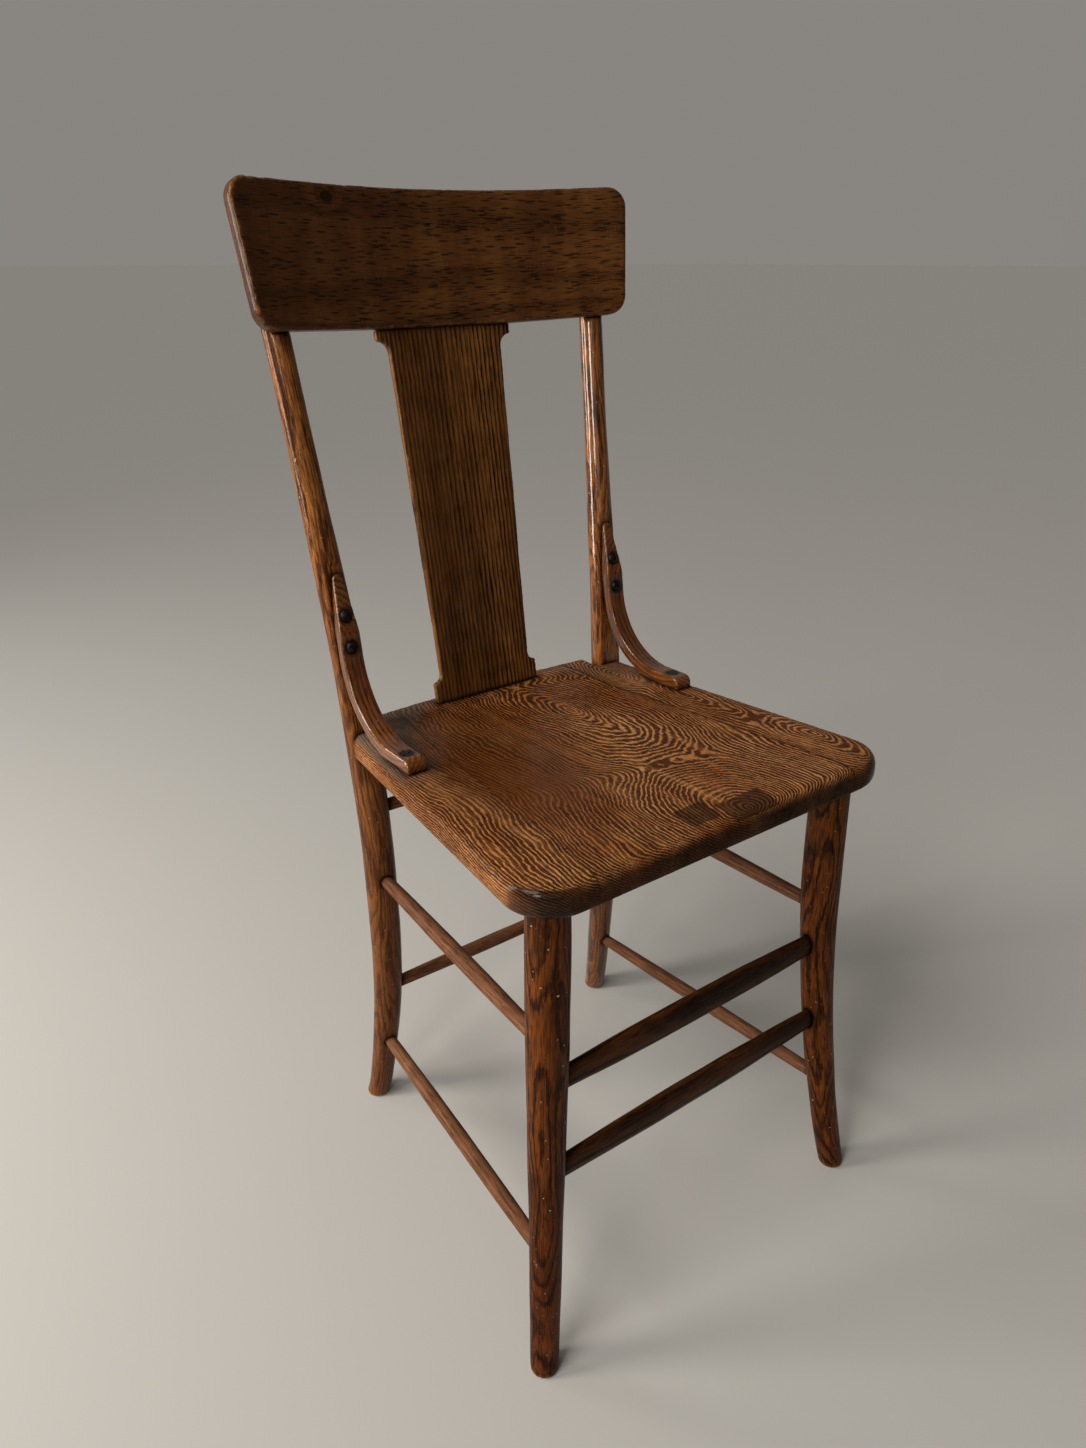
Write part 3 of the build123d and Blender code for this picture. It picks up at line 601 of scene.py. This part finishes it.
for seed, (stickName, stickOak) in enumerate(stickOaks.items()):
    stick = evenCopy(stickName + "_oak", [stickName], stickSetup)
    stickPlaces = asArray(stick.data)
    along = stickGrain(stickPlaces, seed)
    pushOut(stick.data, unevenness(stickPlaces, stickSetup, seed))
    # painted shade: the posts are darker below the seat
    low = 1 - ramped(asArray(stick.data)[:, 2], *stickSetup["darkBelow"])
    shadeBelowSeat = low * stickSetup["darkness"] * ("post" in stickName)
    dress(stick.data, {stickName}, along, ringsRound(along, stickSetup, seed), {"polish": shadeBelowSeat})
    claim(stick, stickName, stickOak)
print("legs and posts dressed")


# Crest rail: bent board, grain from end to end, a knot, chips along its top edge, painted shade on its left
# part
crestSetup = {
    "voxel": 0.0015, "ease": 5, "unevenSize": 0.06, "unevenDepth": 0.0004,
    "pith": (0.06, -0.16), "swirlSize": (0.05, 0.05, 0.3), "swirlDepth": 0.006,
    "bendRadius": 0.564, "lean": 10.5, "origin": (0.0, 0.1902, 0.7907), "height": 0.111,
    "chipSize": 0.007, "chipDepth": 0.005, "chipFrom": 0.15, "chipBand": 0.006, "chipFade": 0.004,
    "knot": ((0.101, -0.104), (0.0062, 0.0085)), "knotEdge": 1.3, "knotDepth": 0.75,
    "swerve": 0.009, "swerveReach": 1.6, "shade": 0.6, "shadeFade": (-0.2, 0.06),
}
crestOak = makeOak("crestOak", {
    "pale": "#6b431f", "warm": "#553116", "brown": "#2a1406", "dark": "#0a0301", "bare": "#85592f",
    "patchColor": "#100602", "ring": 0.0062, "ripple": (0.006, 0.05, 0.0014), "ringDepth": 0.5,
    "pore": (0.0009, 0.015), "poreFrom": 0.66, "poreDepth": 1.0, "dash": 0.8,
    "toneSize": (0.15, 0.035), "mottle": 0.15, "fleck": 0.14,
    "rough": 0.36, "coat": 0.45, "bump": 0.00025, "wear": 0.9,
})
crest = evenCopy("crest_rail_oak", ["crest_rail"], crestSetup)
crestPlaces = asArray(crest.data)
leanCos, leanSin = cosAndSin(crestSetup["lean"])
fromOrigin = crestPlaces - np.array(crestSetup["origin"])
rise = fromOrigin[:, 1] * leanSin + fromOrigin[:, 2] * leanCos
back = fromOrigin[:, 1] * leanCos - fromOrigin[:, 2] * leanSin
bend = np.sqrt(crestSetup["bendRadius"] ** 2 - fromOrigin[:, 0] ** 2) - crestSetup["bendRadius"]
crestAlong = np.arcsin(fromOrigin[:, 0] / crestSetup["bendRadius"]) * crestSetup["bendRadius"]
crestGrain = np.column_stack([rise, crestAlong, back - bend])
chips = np.clip(wander(crestPlaces, crestSetup["chipSize"], 5) - crestSetup["chipFrom"], 0, 1)
nearTop = (rise - crestSetup["height"] + crestSetup["chipBand"]) / crestSetup["chipFade"]
chips *= np.clip(nearTop, 0, 1) * edgeMask(crest.data)
pushOut(crest.data, unevenness(crestPlaces, crestSetup, 6) - chips * crestSetup["chipDepth"])
knotPlace = ovalPlace(crestGrain, *crestSetup["knot"])
knot = np.clip(crestSetup["knotEdge"] - knotPlace, 0, 1) * crestSetup["knotDepth"]
shaded = crestSetup["shade"] * (1 - ramped(crestAlong, *crestSetup["shadeFade"]))  # painted shade: darker to the left
crestRings = ringsRound(crestGrain, crestSetup, 7)
crestRings += crestSetup["swerve"] * np.exp(-(knotPlace / crestSetup["swerveReach"]) ** 2)
dress(crest.data, {"crest_rail"}, crestGrain, crestRings, {"patch": knot, "polish": shaded})
claim(crest, "crest_rail", crestOak)
print("crest rail dressed")


# Splat: straight-grained flat board, its left part darker
splatSetup = {
    "voxel": 0.0013, "ease": 3, "unevenSize": 0.05, "unevenDepth": 0.0004, "lean": 10.1,
    "pith": (-0.34, 0.05), "swirlSize": (0.06, 0.06, 0.4), "swirlDepth": 0.006,
    "dark": 0.75, "darkFade": (-0.012, 0.022), "darkLean": 0.06, "darkMiddle": 0.6,
    "waveSize": (0.02, 0.1, 0.1), "waveDepth": 0.006,
}
splatOak = makeOak("splatOak", {
    "pale": "#a06a36", "warm": "#774a1f", "brown": "#221004", "dark": "#0b0401", "bare": "#7d5228",
    "ring": 0.0046, "ripple": (0.0035, 0.022, 0.0017), "ringDepth": 1.0, "pore": (0.0013, 0.02),
    "poreDepth": 0.8, "toneSize": (0.02, 0.5), "rough": 0.38, "coat": 0.25, "bump": 0.0003, "wear": 0.5,
})
splat = evenCopy("splat_oak", ["splat"], splatSetup)
splatPlaces = asArray(splat.data)
splatCos, splatSin = cosAndSin(splatSetup["lean"])
splatUp = splatPlaces[:, 1] * splatSin + splatPlaces[:, 2] * splatCos
splatDeep = splatPlaces[:, 1] * splatCos - splatPlaces[:, 2] * splatSin
splatGrain = np.column_stack([splatPlaces[:, 0], splatUp, splatDeep])
pushOut(splat.data, unevenness(splatPlaces, splatSetup, 8))
rightPart = splatPlaces[:, 0] + (splatPlaces[:, 2] - splatSetup["darkMiddle"]) * splatSetup["darkLean"]
rightPart += wander(splatPlaces, splatSetup["waveSize"], 8) * splatSetup["waveDepth"]
leftDark = splatSetup["dark"] * (1 - ramped(rightPart, *splatSetup["darkFade"]))
dress(splat.data, {"splat"}, splatGrain, ringsRound(splatGrain, splatSetup, 9), {"polish": leftDark})
claim(splat, "splat", splatOak)
print("splat dressed")


# Braces: steam-bent strips, the grain runs round the bend
braceSetup = {
    "voxel": 0.001, "ease": 5, "unevenSize": 0.03, "unevenDepth": 0.0003,
    "pith": (0.03, -0.03), "swirlSize": (0.04, 0.04, 0.2), "swirlDepth": 0.004,
    "bendCentre": (0.0504, 0.5419), "bendRadius": 0.077, "middleX": 0.15, "alongStep": 0.9,
}
braceOak = makeOak("braceOak", {
    "pale": "#8f551f", "warm": "#6e390f", "brown": "#2e1405", "dark": "#0e0401", "bare": "#a8733a",
    "ring": 0.0040, "ripple": (0.003, 0.012, 0.0009), "specks": 0.3,
    "rough": 0.28, "coat": 1.0, "coatIor": 1.5, "bump": 0.00018, "wear": 0.35,
})
for number, sideName in enumerate(("left", "right")):
    braceName = "brace_" + sideName
    brace = evenCopy(braceName + "_oak", [braceName], braceSetup)
    bracePlaces = asArray(brace.data)
    fromBend = bracePlaces[:, 1:] - np.array(braceSetup["bendCentre"])
    angle = np.arctan2(fromBend[:, 0], -fromBend[:, 1])
    outward = np.hypot(fromBend[:, 0], fromBend[:, 1]) - braceSetup["bendRadius"]
    braceAlong = angle * braceSetup["bendRadius"] + number * braceSetup["alongStep"]
    braceGrain = np.column_stack([np.abs(bracePlaces[:, 0]) - braceSetup["middleX"], braceAlong, outward])
    pushOut(brace.data, unevenness(bracePlaces, braceSetup, 10 + number))
    dress(brace.data, {braceName}, braceGrain, ringsRound(braceGrain, braceSetup, 10 + number))
    claim(brace, braceName, braceOak)
print("braces dressed")


# Seat: glued boards with a worn hollow, raised grain, dark patches near the front edge, and painted shade on
# the front edge
sharedLoops = ((0.020, -0.200, 1.5), (0.035, 0.045, 2.4))
seatSetup = {
    "voxel": 0.0016, "ease": 5, "tilt": 3.3, "height": 0.463, "middle": -0.02267,
    "glueX": 0.1155, "glueTurn": 5.38, "boardShift": 0.3,
    "hollow": ((0.0, -0.020), (0.1376, 0.1822)), "hollowEase": 60, "topReach": 0.0065,
    "upwardFrom": 0.6, "innerRounds": 6, "innerFrom": 0.97,
    # growth rings: loops at x and y, drawn out along y, for the left, centre and right board
    "loops": (sharedLoops, sharedLoops, ((0.163, -0.141, 2.2), (0.140, 0.00, 3.0), (0.125, 0.09, 2.0))),
    "fineness": (1.0, 1.0, 1.2), "loopMeet": 0.03, "loopPull": 0.0075, "ringSlope": 1.5,
    "stirs": (((0.05, 0.09, 0.05), 0.010), ((0.02, 0.03, 0.03), 0.0032), ((0.009, 0.014, 0.02), 0.0009)),
    # dark patches near the front edge, and the dull margin behind the hollow
    "patches": (((-0.020, -0.183), (0.014, 0.013)), ((0.022, -0.196), (0.023, 0.015))), "patchEdge": 1.5,
    "marginFade": (0.97, 1.06), "marginBehind": (-0.02, 0.06), "marginRight": 0.35,
    # burnished hollow, glossy front edge darkened with painted shade, and glossy corners
    "burnish": ((-0.085, 0.0), (0.07, 0.15)), "burnishDepth": 1.5, "burnishFade": (0.3, 1.5),
    "borderFade": (0.1, 0.9), "frontPolishShadeDepth": 0.8, "frontFade": (0.1, 0.7),
    "corner": (0.178, -0.205), "cornerFade": (0.014, 0.04), "cornerTop": (0.75, 0.97),
    "cornerPolish": 4.2, "cornerPolishSwing": 2.5, "cornerPolishSize": 0.012,
    # dirt in the glue lines and at the corners, dirt and painted shade on the front edge
    "glueReach": 0.0014, "glueDirt": (0.25, 0.55), "frontDirtAndShade": 0.75, "frontDirtShadeSwing": 0.3,
    "frontDirtShadeSize": 0.03, "frontDirtShadeFade": (0.2, 0.8),
    "cornerDirt": 0.6, "cornerDirtSwing": 0.35, "cornerDirtSize": 0.02,
}
seatBoards = ("seat_board_left", "seat_board_centre", "seat_board_right")
seatOak = makeOak("seatOak", {
    "pale": "#cb915b", "warm": "#a86733", "brown": "#3f1d08", "dark": "#1a0b03", "bare": "#94632f",
    "polishAndShadeColor": "#421b02", "marginColor": "#5e4f44",
    "ring": 0.0036, "ripple": (0.005, 0.010, 0.0020), "ringDepth": 0.95, "ridge": 1.0,
    "profile": ((0.0, 1.0), (0.38, 0.95), (0.58, 0.15), (0.74, 0.0), (1.0, 1.0)),
    "pore": (0.0012, 0.010), "poreFrom": 0.64, "poreDepth": 0.7, "toneSize": (0.07, 0.16), "mottle": 0.3,
    "rough": 0.42, "coat": 0.07, "shine": 0.12, "bump": 0.0006, "wear": 0.25,
})


def glueLineAt(y):  # half the centre board's width
    return seatSetup["glueX"] - (y - seatSetup["middle"]) * math.tan(math.radians(seatSetup["glueTurn"]))


seat = evenCopy("seat_whole", seatBoards, seatSetup)
seatMesh = seat.data
seatPlaces = asArray(seatMesh)
tiltCos, tiltSin = cosAndSin(seatSetup["tilt"])
rearward = seatPlaces[:, 1] - seatSetup["middle"]
lift = (seatPlaces[:, 2] - seatSetup["height"]) * tiltCos + rearward * tiltSin
seatPairs = neighbours(seatMesh)
upward = asArray(seatMesh, "normal")[:, 2] > seatSetup["upwardFrom"]
inTop = (upward & (lift > -seatSetup["topReach"])).astype(float)
inner = spread(inTop, seatPairs, seatSetup["innerRounds"]) > seatSetup["innerFrom"]
softLift = lift.copy()
for _ in range(seatSetup["hollowEase"]):
    softLift = np.where(inner, spread(softLift, seatPairs, 1), lift)
seatPlaces[:, 2] += softLift - lift
setPlaces(seatMesh, seatPlaces)

# Growth rings: nested loops that run together into long lines, board by board
seatX, seatY = seatPlaces[:, 0], seatPlaces[:, 1]
onLeft = seatX < 0
fromGlue = np.abs(seatX) - glueLineAt(seatY)
onBoard = np.where(fromGlue < 0, 1, np.where(onLeft, 0, 2))
seatRings = np.empty(len(seatPlaces))
for number, loops in enumerate(seatSetup["loops"]):
    here = onBoard == number
    flow = np.full(here.sum(), 1.0)
    for loopX, loopY, loopLength in loops:
        reach = np.hypot(seatX[here] - loopX, (seatY[here] - loopY) / loopLength)
        share = np.clip(0.5 + (flow - reach) / seatSetup["loopMeet"], 0, 1)
        flow = flow * (1 - share) + reach * share - seatSetup["loopPull"] * share * (1 - share)
    seatRings[here] = flow * seatSetup["fineness"][number]
for seed, (stirSize, stirDepth) in enumerate(seatSetup["stirs"], 13):
    seatRings += wander(seatPlaces, stirSize, seed) * stirDepth
seatRings -= lift * seatSetup["ringSlope"]

# Patches, dull margin, burnished hollow, glossy front edge darkened with painted shade, and glossy corners
patch = np.zeros(len(seatPlaces))
for (patchX, patchY), (halfX, halfY) in seatSetup["patches"]:
    square = np.maximum(np.abs(seatX - patchX) / halfX, np.abs(seatY - patchY) / halfY)
    patch = np.maximum(patch, np.clip(seatSetup["patchEdge"] - square, 0, 1) * upward)
margin = ramped(ovalPlace(seatPlaces, *seatSetup["hollow"]), *seatSetup["marginFade"])
margin *= ramped(seatY, *seatSetup["marginBehind"]) * upward * np.where(onLeft, 1.0, seatSetup["marginRight"])
facing = asArray(seatMesh, "normal")
border = 1 - ramped(facing[:, 2], *seatSetup["borderFade"])
fromBurnish = ramped(ovalPlace(seatPlaces, *seatSetup["burnish"]), *seatSetup["burnishFade"])
polish = seatSetup["burnishDepth"] * (1 - fromBurnish) * upward
# gloss and painted shade on the front edge
frontPolishAndShade = border * ramped(-facing[:, 1], *seatSetup["frontFade"]) * seatSetup["frontPolishShadeDepth"]
cornerX, cornerY = seatSetup["corner"]
fromCorner = ramped(np.hypot(np.abs(seatX) - cornerX, seatY - cornerY), *seatSetup["cornerFade"])
glossy = (1 - fromCorner) * (1 - ramped(facing[:, 2], *seatSetup["cornerTop"]))
cornerPolish = wander(seatPlaces, seatSetup["cornerPolishSize"], 3) * seatSetup["cornerPolishSwing"]
cornerPolish = glossy * (seatSetup["cornerPolish"] + cornerPolish)
polish = np.maximum.reduce([polish, frontPolishAndShade, cornerPolish])
seatGrain = np.column_stack([seatX + np.where(fromGlue > 0, seatSetup["boardShift"], 0.0), seatY, lift])
dress(seatMesh, set(seatBoards), seatGrain, seatRings, {"patch": patch, "margin": margin, "polish": polish})

# Dirt in the glue lines and at the corners, dirt and painted shade on the front edge
glueDirt = np.clip(1 - np.abs(fromGlue) / seatSetup["glueReach"], 0, 1)
glueDirt *= np.where(onLeft, *seatSetup["glueDirt"])
# dirt and painted shade on the front edge
frontDirtAndShade = wander(seatPlaces, seatSetup["frontDirtShadeSize"], 4) * seatSetup["frontDirtShadeSwing"]
frontDirtAndShade += seatSetup["frontDirtAndShade"]
frontDirtAndShade *= border * ramped(-facing[:, 1], *seatSetup["frontDirtShadeFade"])
cornerDirt = wander(seatPlaces, seatSetup["cornerDirtSize"], 5) * seatSetup["cornerDirtSwing"]
cornerDirt = glossy * (seatSetup["cornerDirt"] + cornerDirt)
allDirtAndShade = [stored(seatMesh, "grime"), glueDirt, frontDirtAndShade, cornerDirt]
store(seatMesh, "grime", np.maximum.reduce(allDirtAndShade))

# The whole seat is parted into its boards along the glue lines
for boardName in seatBoards:
    work = bmesh.new()
    work.from_mesh(seatMesh)
    other = []
    for face in work.faces:
        middle = face.calc_center_median()
        inCentre = abs(middle.x) < glueLineAt(middle.y)
        place = "centre" if inCentre else "right" if middle.x > 0 else "left"
        if not boardName.endswith(place):
            other.append(face)
    bmesh.ops.delete(work, geom=other, context="FACES")
    boardMesh = bpy.data.meshes.new(boardName + "_oak")
    work.to_mesh(boardMesh)
    work.free()
    claim(newPiece(boardName + "_oak", boardMesh), boardName, seatOak)
bpy.data.objects.remove(seat)
print("seat dressed")


# Front bars: flat bars with rounded edges, darkened
barSetup = {
    "voxel": 0.0012, "ease": 4, "unevenSize": 0.04, "unevenDepth": 0.0004, "alongStep": 0.8,
    "pith": (0.02, -0.05), "swirlSize": (0.03, 0.03, 0.15), "swirlDepth": 0.005,
}
barOak = makeOak("barOak", {
    "pale": "#553014", "warm": "#3a200c", "brown": "#170a04", "dark": "#080301", "bare": "#5f3e22",
    "ring": 0.0046, "ripple": (0.003, 0.02, 0.0012), "ringDepth": 0.9,
    "rough": 0.42, "coat": 0.15, "bump": 0.0003, "wear": 0.4,
})
for number, barName in enumerate(("front_stretcher_upper", "front_stretcher_lower")):
    bar = evenCopy(barName + "_oak", [barName], barSetup)
    barPlaces = asArray(bar.data)
    barX, barY, barZ = (barPlaces - middleOf(barPlaces)).T
    barGrain = np.column_stack([barZ, barX + number * barSetup["alongStep"], barY])
    pushOut(bar.data, unevenness(barPlaces, barSetup, 16 + number))
    dress(bar.data, {barName}, barGrain, ringsRound(barGrain, barSetup, 16 + number))
    claim(bar, barName, barOak)
print("front bars dressed")


# Rods: round rungs, thickest in the middle, grown by one tree
rodSetup = {
    "sides": 48, "steps": 240, "uneven": 0.0005, "unevenScale": 26.0, "alongStep": 0.7,
    "endBand": 0.002, "swellFrom": 0.00003,
    "pith": (0.009, -0.012), "swirlSize": (0.02, 0.02, 0.12), "swirlDepth": 0.004,
}
rodOak = makeOak("rodOak", {
    "pale": "#80553a", "warm": "#69442c", "brown": "#40281b", "dark": "#1d1009", "bare": "#98704c",
    "ring": 0.0040, "ripple": (0.004, 0.03, 0.0006), "ringDepth": 0.45, "poreDepth": 0.6, "mottle": 0.45,
    "specks": 0.2, "rough": 0.5, "coat": 0.05, "bump": 0.0003, "wear": 0.7,
})
rungTree = newTree("rung", {
    "Length": "Float", "EndRadius": "Float", "MiddleRadius": "Float", "HalfSpan": "Float", "Seed": "Float",
    "Place": "Vector", "Turn": "Vector", "Paint": "Material",
})
rungWeb = Web(rungTree)
rung = rungWeb.add("NodeGroupInput")
endRadius = rung.sibling("EndRadius")
cylinder = {
    "Vertices": rodSetup["sides"], "Side Segments": rodSetup["steps"],
    "Radius": 1.0, "Depth": rung.sibling("Length"),
}
rungBody = rungWeb.add("GeometryNodeMeshCylinder", None, cylinder, "Mesh")
rungX, rungY, rungZ = rungWeb.split(rungWeb.add("GeometryNodeInputPosition"))
inSpan = rungZ / rung.sibling("HalfSpan")
swell = (1.0 - inSpan * inSpan).calc("MAXIMUM", 0.0)
rungRadius = endRadius + (rung.sibling("MiddleRadius") - endRadius) * swell
rungPoint = rungWeb.join(rungX * rungRadius, rungY * rungRadius, rungZ)
rungNoise = {"Vector": rungPoint, "W": rung.sibling("Seed"), "Scale": rodSetup["unevenScale"], "Detail": 3.0}
uneven = rungWeb.add("ShaderNodeTexNoise", {"noise_dimensions": "4D"}, rungNoise) - 0.5
rungRadius = rungRadius + uneven * (2 * rodSetup["uneven"]) * swell
rungPoint = rungWeb.join(rungX * rungRadius, rungY * rungRadius, rungZ)
rungBody = rungWeb.add("GeometryNodeSetPosition", None, {"Geometry": rungBody, "Position": rungPoint})
shapedX, shapedY, shapedZ = rungWeb.split(rungWeb.add("GeometryNodeInputPosition"))
rungAlong = shapedZ + rung.sibling("Seed") * rodSetup["alongStep"]
grainLayer = {"Geometry": rungBody, "Name": "grain", "Value": rungWeb.join(shapedX, rungAlong, shapedY)}
rungBody = rungWeb.add("GeometryNodeStoreNamedAttribute", {"data_type": "FLOAT_VECTOR"}, grainLayer)
atPlace = {"Geometry": rungBody, "Translation": rung.sibling("Place"), "Rotation": rung.sibling("Turn")}
rungBody = rungWeb.add("GeometryNodeTransform", None, atPlace)
rungBody = rungWeb.add("GeometryNodeSetShadeSmooth", None, {"Geometry": rungBody})
rungBody = rungWeb.add("GeometryNodeRealizeInstances", None, {"Geometry": rungBody})
rungPaint = {"Geometry": rungBody, "Material": rung.sibling("Paint")}
rungBody = rungWeb.add("GeometryNodeSetMaterial", None, rungPaint)
rungWeb.add("NodeGroupOutput", None, {"Geometry": rungBody})

rodNames = [name for name, slot in slotOf.items() if slot == "oak_rods"]
for number, rodName in enumerate(rodNames):
    solid = asArray(mergedCopy(rodName))
    direction = directionOf(solid)
    middle = solid.mean(0)
    position = (solid - middle) @ direction
    middle = middle + direction * (position.max() + position.min()) / 2
    position = (solid - middle) @ direction
    radial = np.linalg.norm(solid - middle - np.outer(position, direction), axis=1)
    thinnest = radial[np.abs(position) > position.max() - rodSetup["endBand"]].max()
    swollen = np.abs(position[radial > thinnest + rodSetup["swellFrom"]])
    rod = newPiece(rodName + "_oak", bpy.data.meshes.new(rodName + "_oak"))
    grow(rod, rungTree, {
        "Length": float(position.max() * 2), "EndRadius": float(thinnest),
        "MiddleRadius": float(radial.max()), "HalfSpan": float(swollen.max()), "Seed": float(number),
        "Place": tuple(middle.tolist()), "Turn": tuple(Vector(direction).to_track_quat("Z", "Y").to_euler()),
        "Paint": rodOak,
    })
    rodGrain = stored(rod.data, "grain")
    dress(rod.data, {rodName}, rodGrain, ringsRound(rodGrain, rodSetup, 20 + number))
    claim(rod, rodName, rodOak)
print("rods grown")


# Screws: blackened iron, grown at the places where the solids have them
screwSetup = {
    "domeRadius": 0.00575, "domeHeight": 0.0036, "domeSink": 0.00001, "headSides": 48, "headRings": 24,
    "flatRadius": 0.0055, "flatHeight": 0.0001, "flatSink": 0.0035, "slotWidth": 0.0014, "slotDepth": 0.0011,
    "shankRadius": 0.0022, "shankSides": 24, "mostSpin": 3.1, "band": 0.0003, "axisRounds": 3,
    "black": "#15110f", "rust": "#3a2014", "rustScale": 700.0, "bump": 0.0001,
}
iron, ironWeb = emptyMaterial("blackIron")
ironPlace = ironWeb.add("ShaderNodeTexCoord", None, None, "Object")
ironGrit = {"Vector": ironPlace, "Scale": screwSetup["rustScale"], "Detail": 4.0}
ironNoise = ironWeb.add("ShaderNodeTexNoise", None, ironGrit)
ironRust = ironWeb.rise(ironNoise, 0.52, 0.7)
ironColors = (displayColor(screwSetup[key]) for key in ("black", "rust"))
ironRelief = {"Distance": screwSetup["bump"], "Height": ironNoise}
ironWeb.paint({
    "Base Color": ironWeb.mix(ironRust * 0.5, *ironColors),
    "Metallic": 0.7 - ironRust * 0.5, "Roughness": ironRust * 0.3 + 0.38,
    "Normal": ironWeb.add("ShaderNodeBump", None, ironRelief, "Normal"),
})

screwTree = newTree("screw", {
    "Geometry": "Geometry", "HeadRadius": "Float", "Dome": "Float", "Sink": "Float", "ShankLength": "Float",
    "Paint": "Material",
})
screwWeb = Web(screwTree)
screw = screwWeb.add("NodeGroupInput")
ball = {"Segments": screwSetup["headSides"], "Rings": screwSetup["headRings"], "Radius": 1.0}
headBall = screwWeb.add("GeometryNodeMeshUVSphere", None, ball, "Mesh")
ballX, ballY, ballZ = screwWeb.split(screwWeb.add("GeometryNodeInputPosition"))
headRadius = screw.sibling("HeadRadius")
headTop = ballZ.calc("MAXIMUM", 0.0) * screw.sibling("Dome")
headZ = headTop + ballZ.calc("MINIMUM", 0.0) * screw.sibling("Sink")
headPoint = screwWeb.join(ballX * headRadius, ballY * headRadius, headZ)
screwHead = screwWeb.add("GeometryNodeSetPosition", None, {"Geometry": headBall, "Position": headPoint})
slotSize = screwWeb.join(headRadius * 3.0, screwSetup["slotWidth"], screwSetup["slotDepth"] * 2)
slotBlock = screwWeb.add("GeometryNodeMeshCube", None, {"Size": slotSize}, "Mesh")
slotUp = screwWeb.join(0.0, 0.0, screw.sibling("Dome"))
slotBlock = screwWeb.add("GeometryNodeTransform", None, {"Geometry": slotBlock, "Translation": slotUp})
cutter = {"operation": "DIFFERENCE", "solver": "EXACT"}
cut = {"Mesh 1": screwHead, "Mesh 2": slotBlock}
screwHead = screwWeb.add("GeometryNodeMeshBoolean", cutter, cut, "Mesh")
shank = {
    "Vertices": screwSetup["shankSides"], "Radius": screwSetup["shankRadius"],
    "Depth": screw.sibling("ShankLength"),
}
screwShank = screwWeb.add("GeometryNodeMeshCylinder", None, shank, "Mesh")
shankDown = screwWeb.join(0.0, 0.0, screw.sibling("ShankLength") * -0.5)
screwShank = screwWeb.add("GeometryNodeTransform", None, {"Geometry": screwShank, "Translation": shankDown})
screwWhole = screwWeb.add("GeometryNodeJoinGeometry", None, {"Geometry": screwHead})
screwTree.links.new(screwShank.socket, screwWhole.socket.node.inputs["Geometry"])
outOf = screwWeb.add("GeometryNodeInputNamedAttribute", {"data_type": "FLOAT_VECTOR"}, {"Name": "facing"})
spinRange = {"Max": screwSetup["mostSpin"], "Seed": 4}
spin = screwWeb.add("FunctionNodeRandomValue", {"data_type": "FLOAT"}, spinRange, 1)
turned = {"Rotation": screwWeb.join(0.0, 0.0, spin), "Vector": outOf}
turned = screwWeb.add("FunctionNodeAlignRotationToVector", {"axis": "Z"}, turned)
screwPoints = screwWeb.add("GeometryNodeMeshToPoints", None, {"Mesh": screw.sibling("Geometry")})
placed = {"Points": screwPoints, "Instance": screwWhole, "Rotation": turned}
screwAll = screwWeb.add("GeometryNodeInstanceOnPoints", None, placed)
screwAll = screwWeb.add("GeometryNodeRealizeInstances", None, {"Geometry": screwAll})
screwPaint = {"Geometry": screwAll, "Material": screw.sibling("Paint")}
screwAll = screwWeb.add("GeometryNodeSetMaterial", None, screwPaint)
screwWeb.add("NodeGroupOutput", None, {"Geometry": screwAll})


def islands(mesh):  # vertex numbers of each separate part
    group = np.arange(len(mesh.vertices))
    pairs = neighbours(mesh)
    while True:
        low = np.minimum(group[pairs[:, 0]], group[pairs[:, 1]])
        lowest = group.copy()
        np.minimum.at(lowest, pairs[:, 0], low)
        np.minimum.at(lowest, pairs[:, 1], low)
        lowest = lowest[lowest]
        if (lowest == group).all():
            return [np.flatnonzero(group == number) for number in np.unique(group)]
        group = lowest


def screwAxis(places):  # the head's place, the way it faces and the length below it
    direction = directionOf(places)
    for _ in range(screwSetup["axisRounds"]):  # settles between the tip's middle and the rim's middle
        position = (places - places.mean(0)) @ direction
        outline = places - np.outer(position, direction)
        radial = np.linalg.norm(outline - middleOf(outline), axis=1)
        rim = radial > radial.max() - screwSetup["band"]
        if position[rim].mean() < 0:
            position = -position
        tip = places[position < position.min() + screwSetup["band"]]
        rimMiddle = middleOf(places[rim])
        direction = rimMiddle - middleOf(tip)
        direction /= np.linalg.norm(direction)
    return rimMiddle, direction, position[rim].mean() - position.min()


for screwName in [name for name, slot in slotOf.items() if slot == "screw_iron"]:
    solid = mergedCopy(screwName)
    solidPlaces = asArray(solid)
    heads, facings, lengths = zip(*(screwAxis(solidPlaces[part]) for part in islands(solid)))
    pointMesh = bpy.data.meshes.new(screwName + "_iron")
    pointMesh.from_pydata([tuple(head) for head in heads], [], [])
    store(pointMesh, "facing", np.array(facings))
    shape = "flat" if screwName == "brace_seat_screws" else "dome"
    screws = newPiece(screwName + "_iron", pointMesh)
    grow(screws, screwTree, {
        "HeadRadius": screwSetup[shape + "Radius"], "Dome": screwSetup[shape + "Height"],
        "Sink": screwSetup[shape + "Sink"], "ShankLength": float(min(lengths)), "Paint": iron,
    })
    claim(screws, screwName, iron)
print("screws grown")
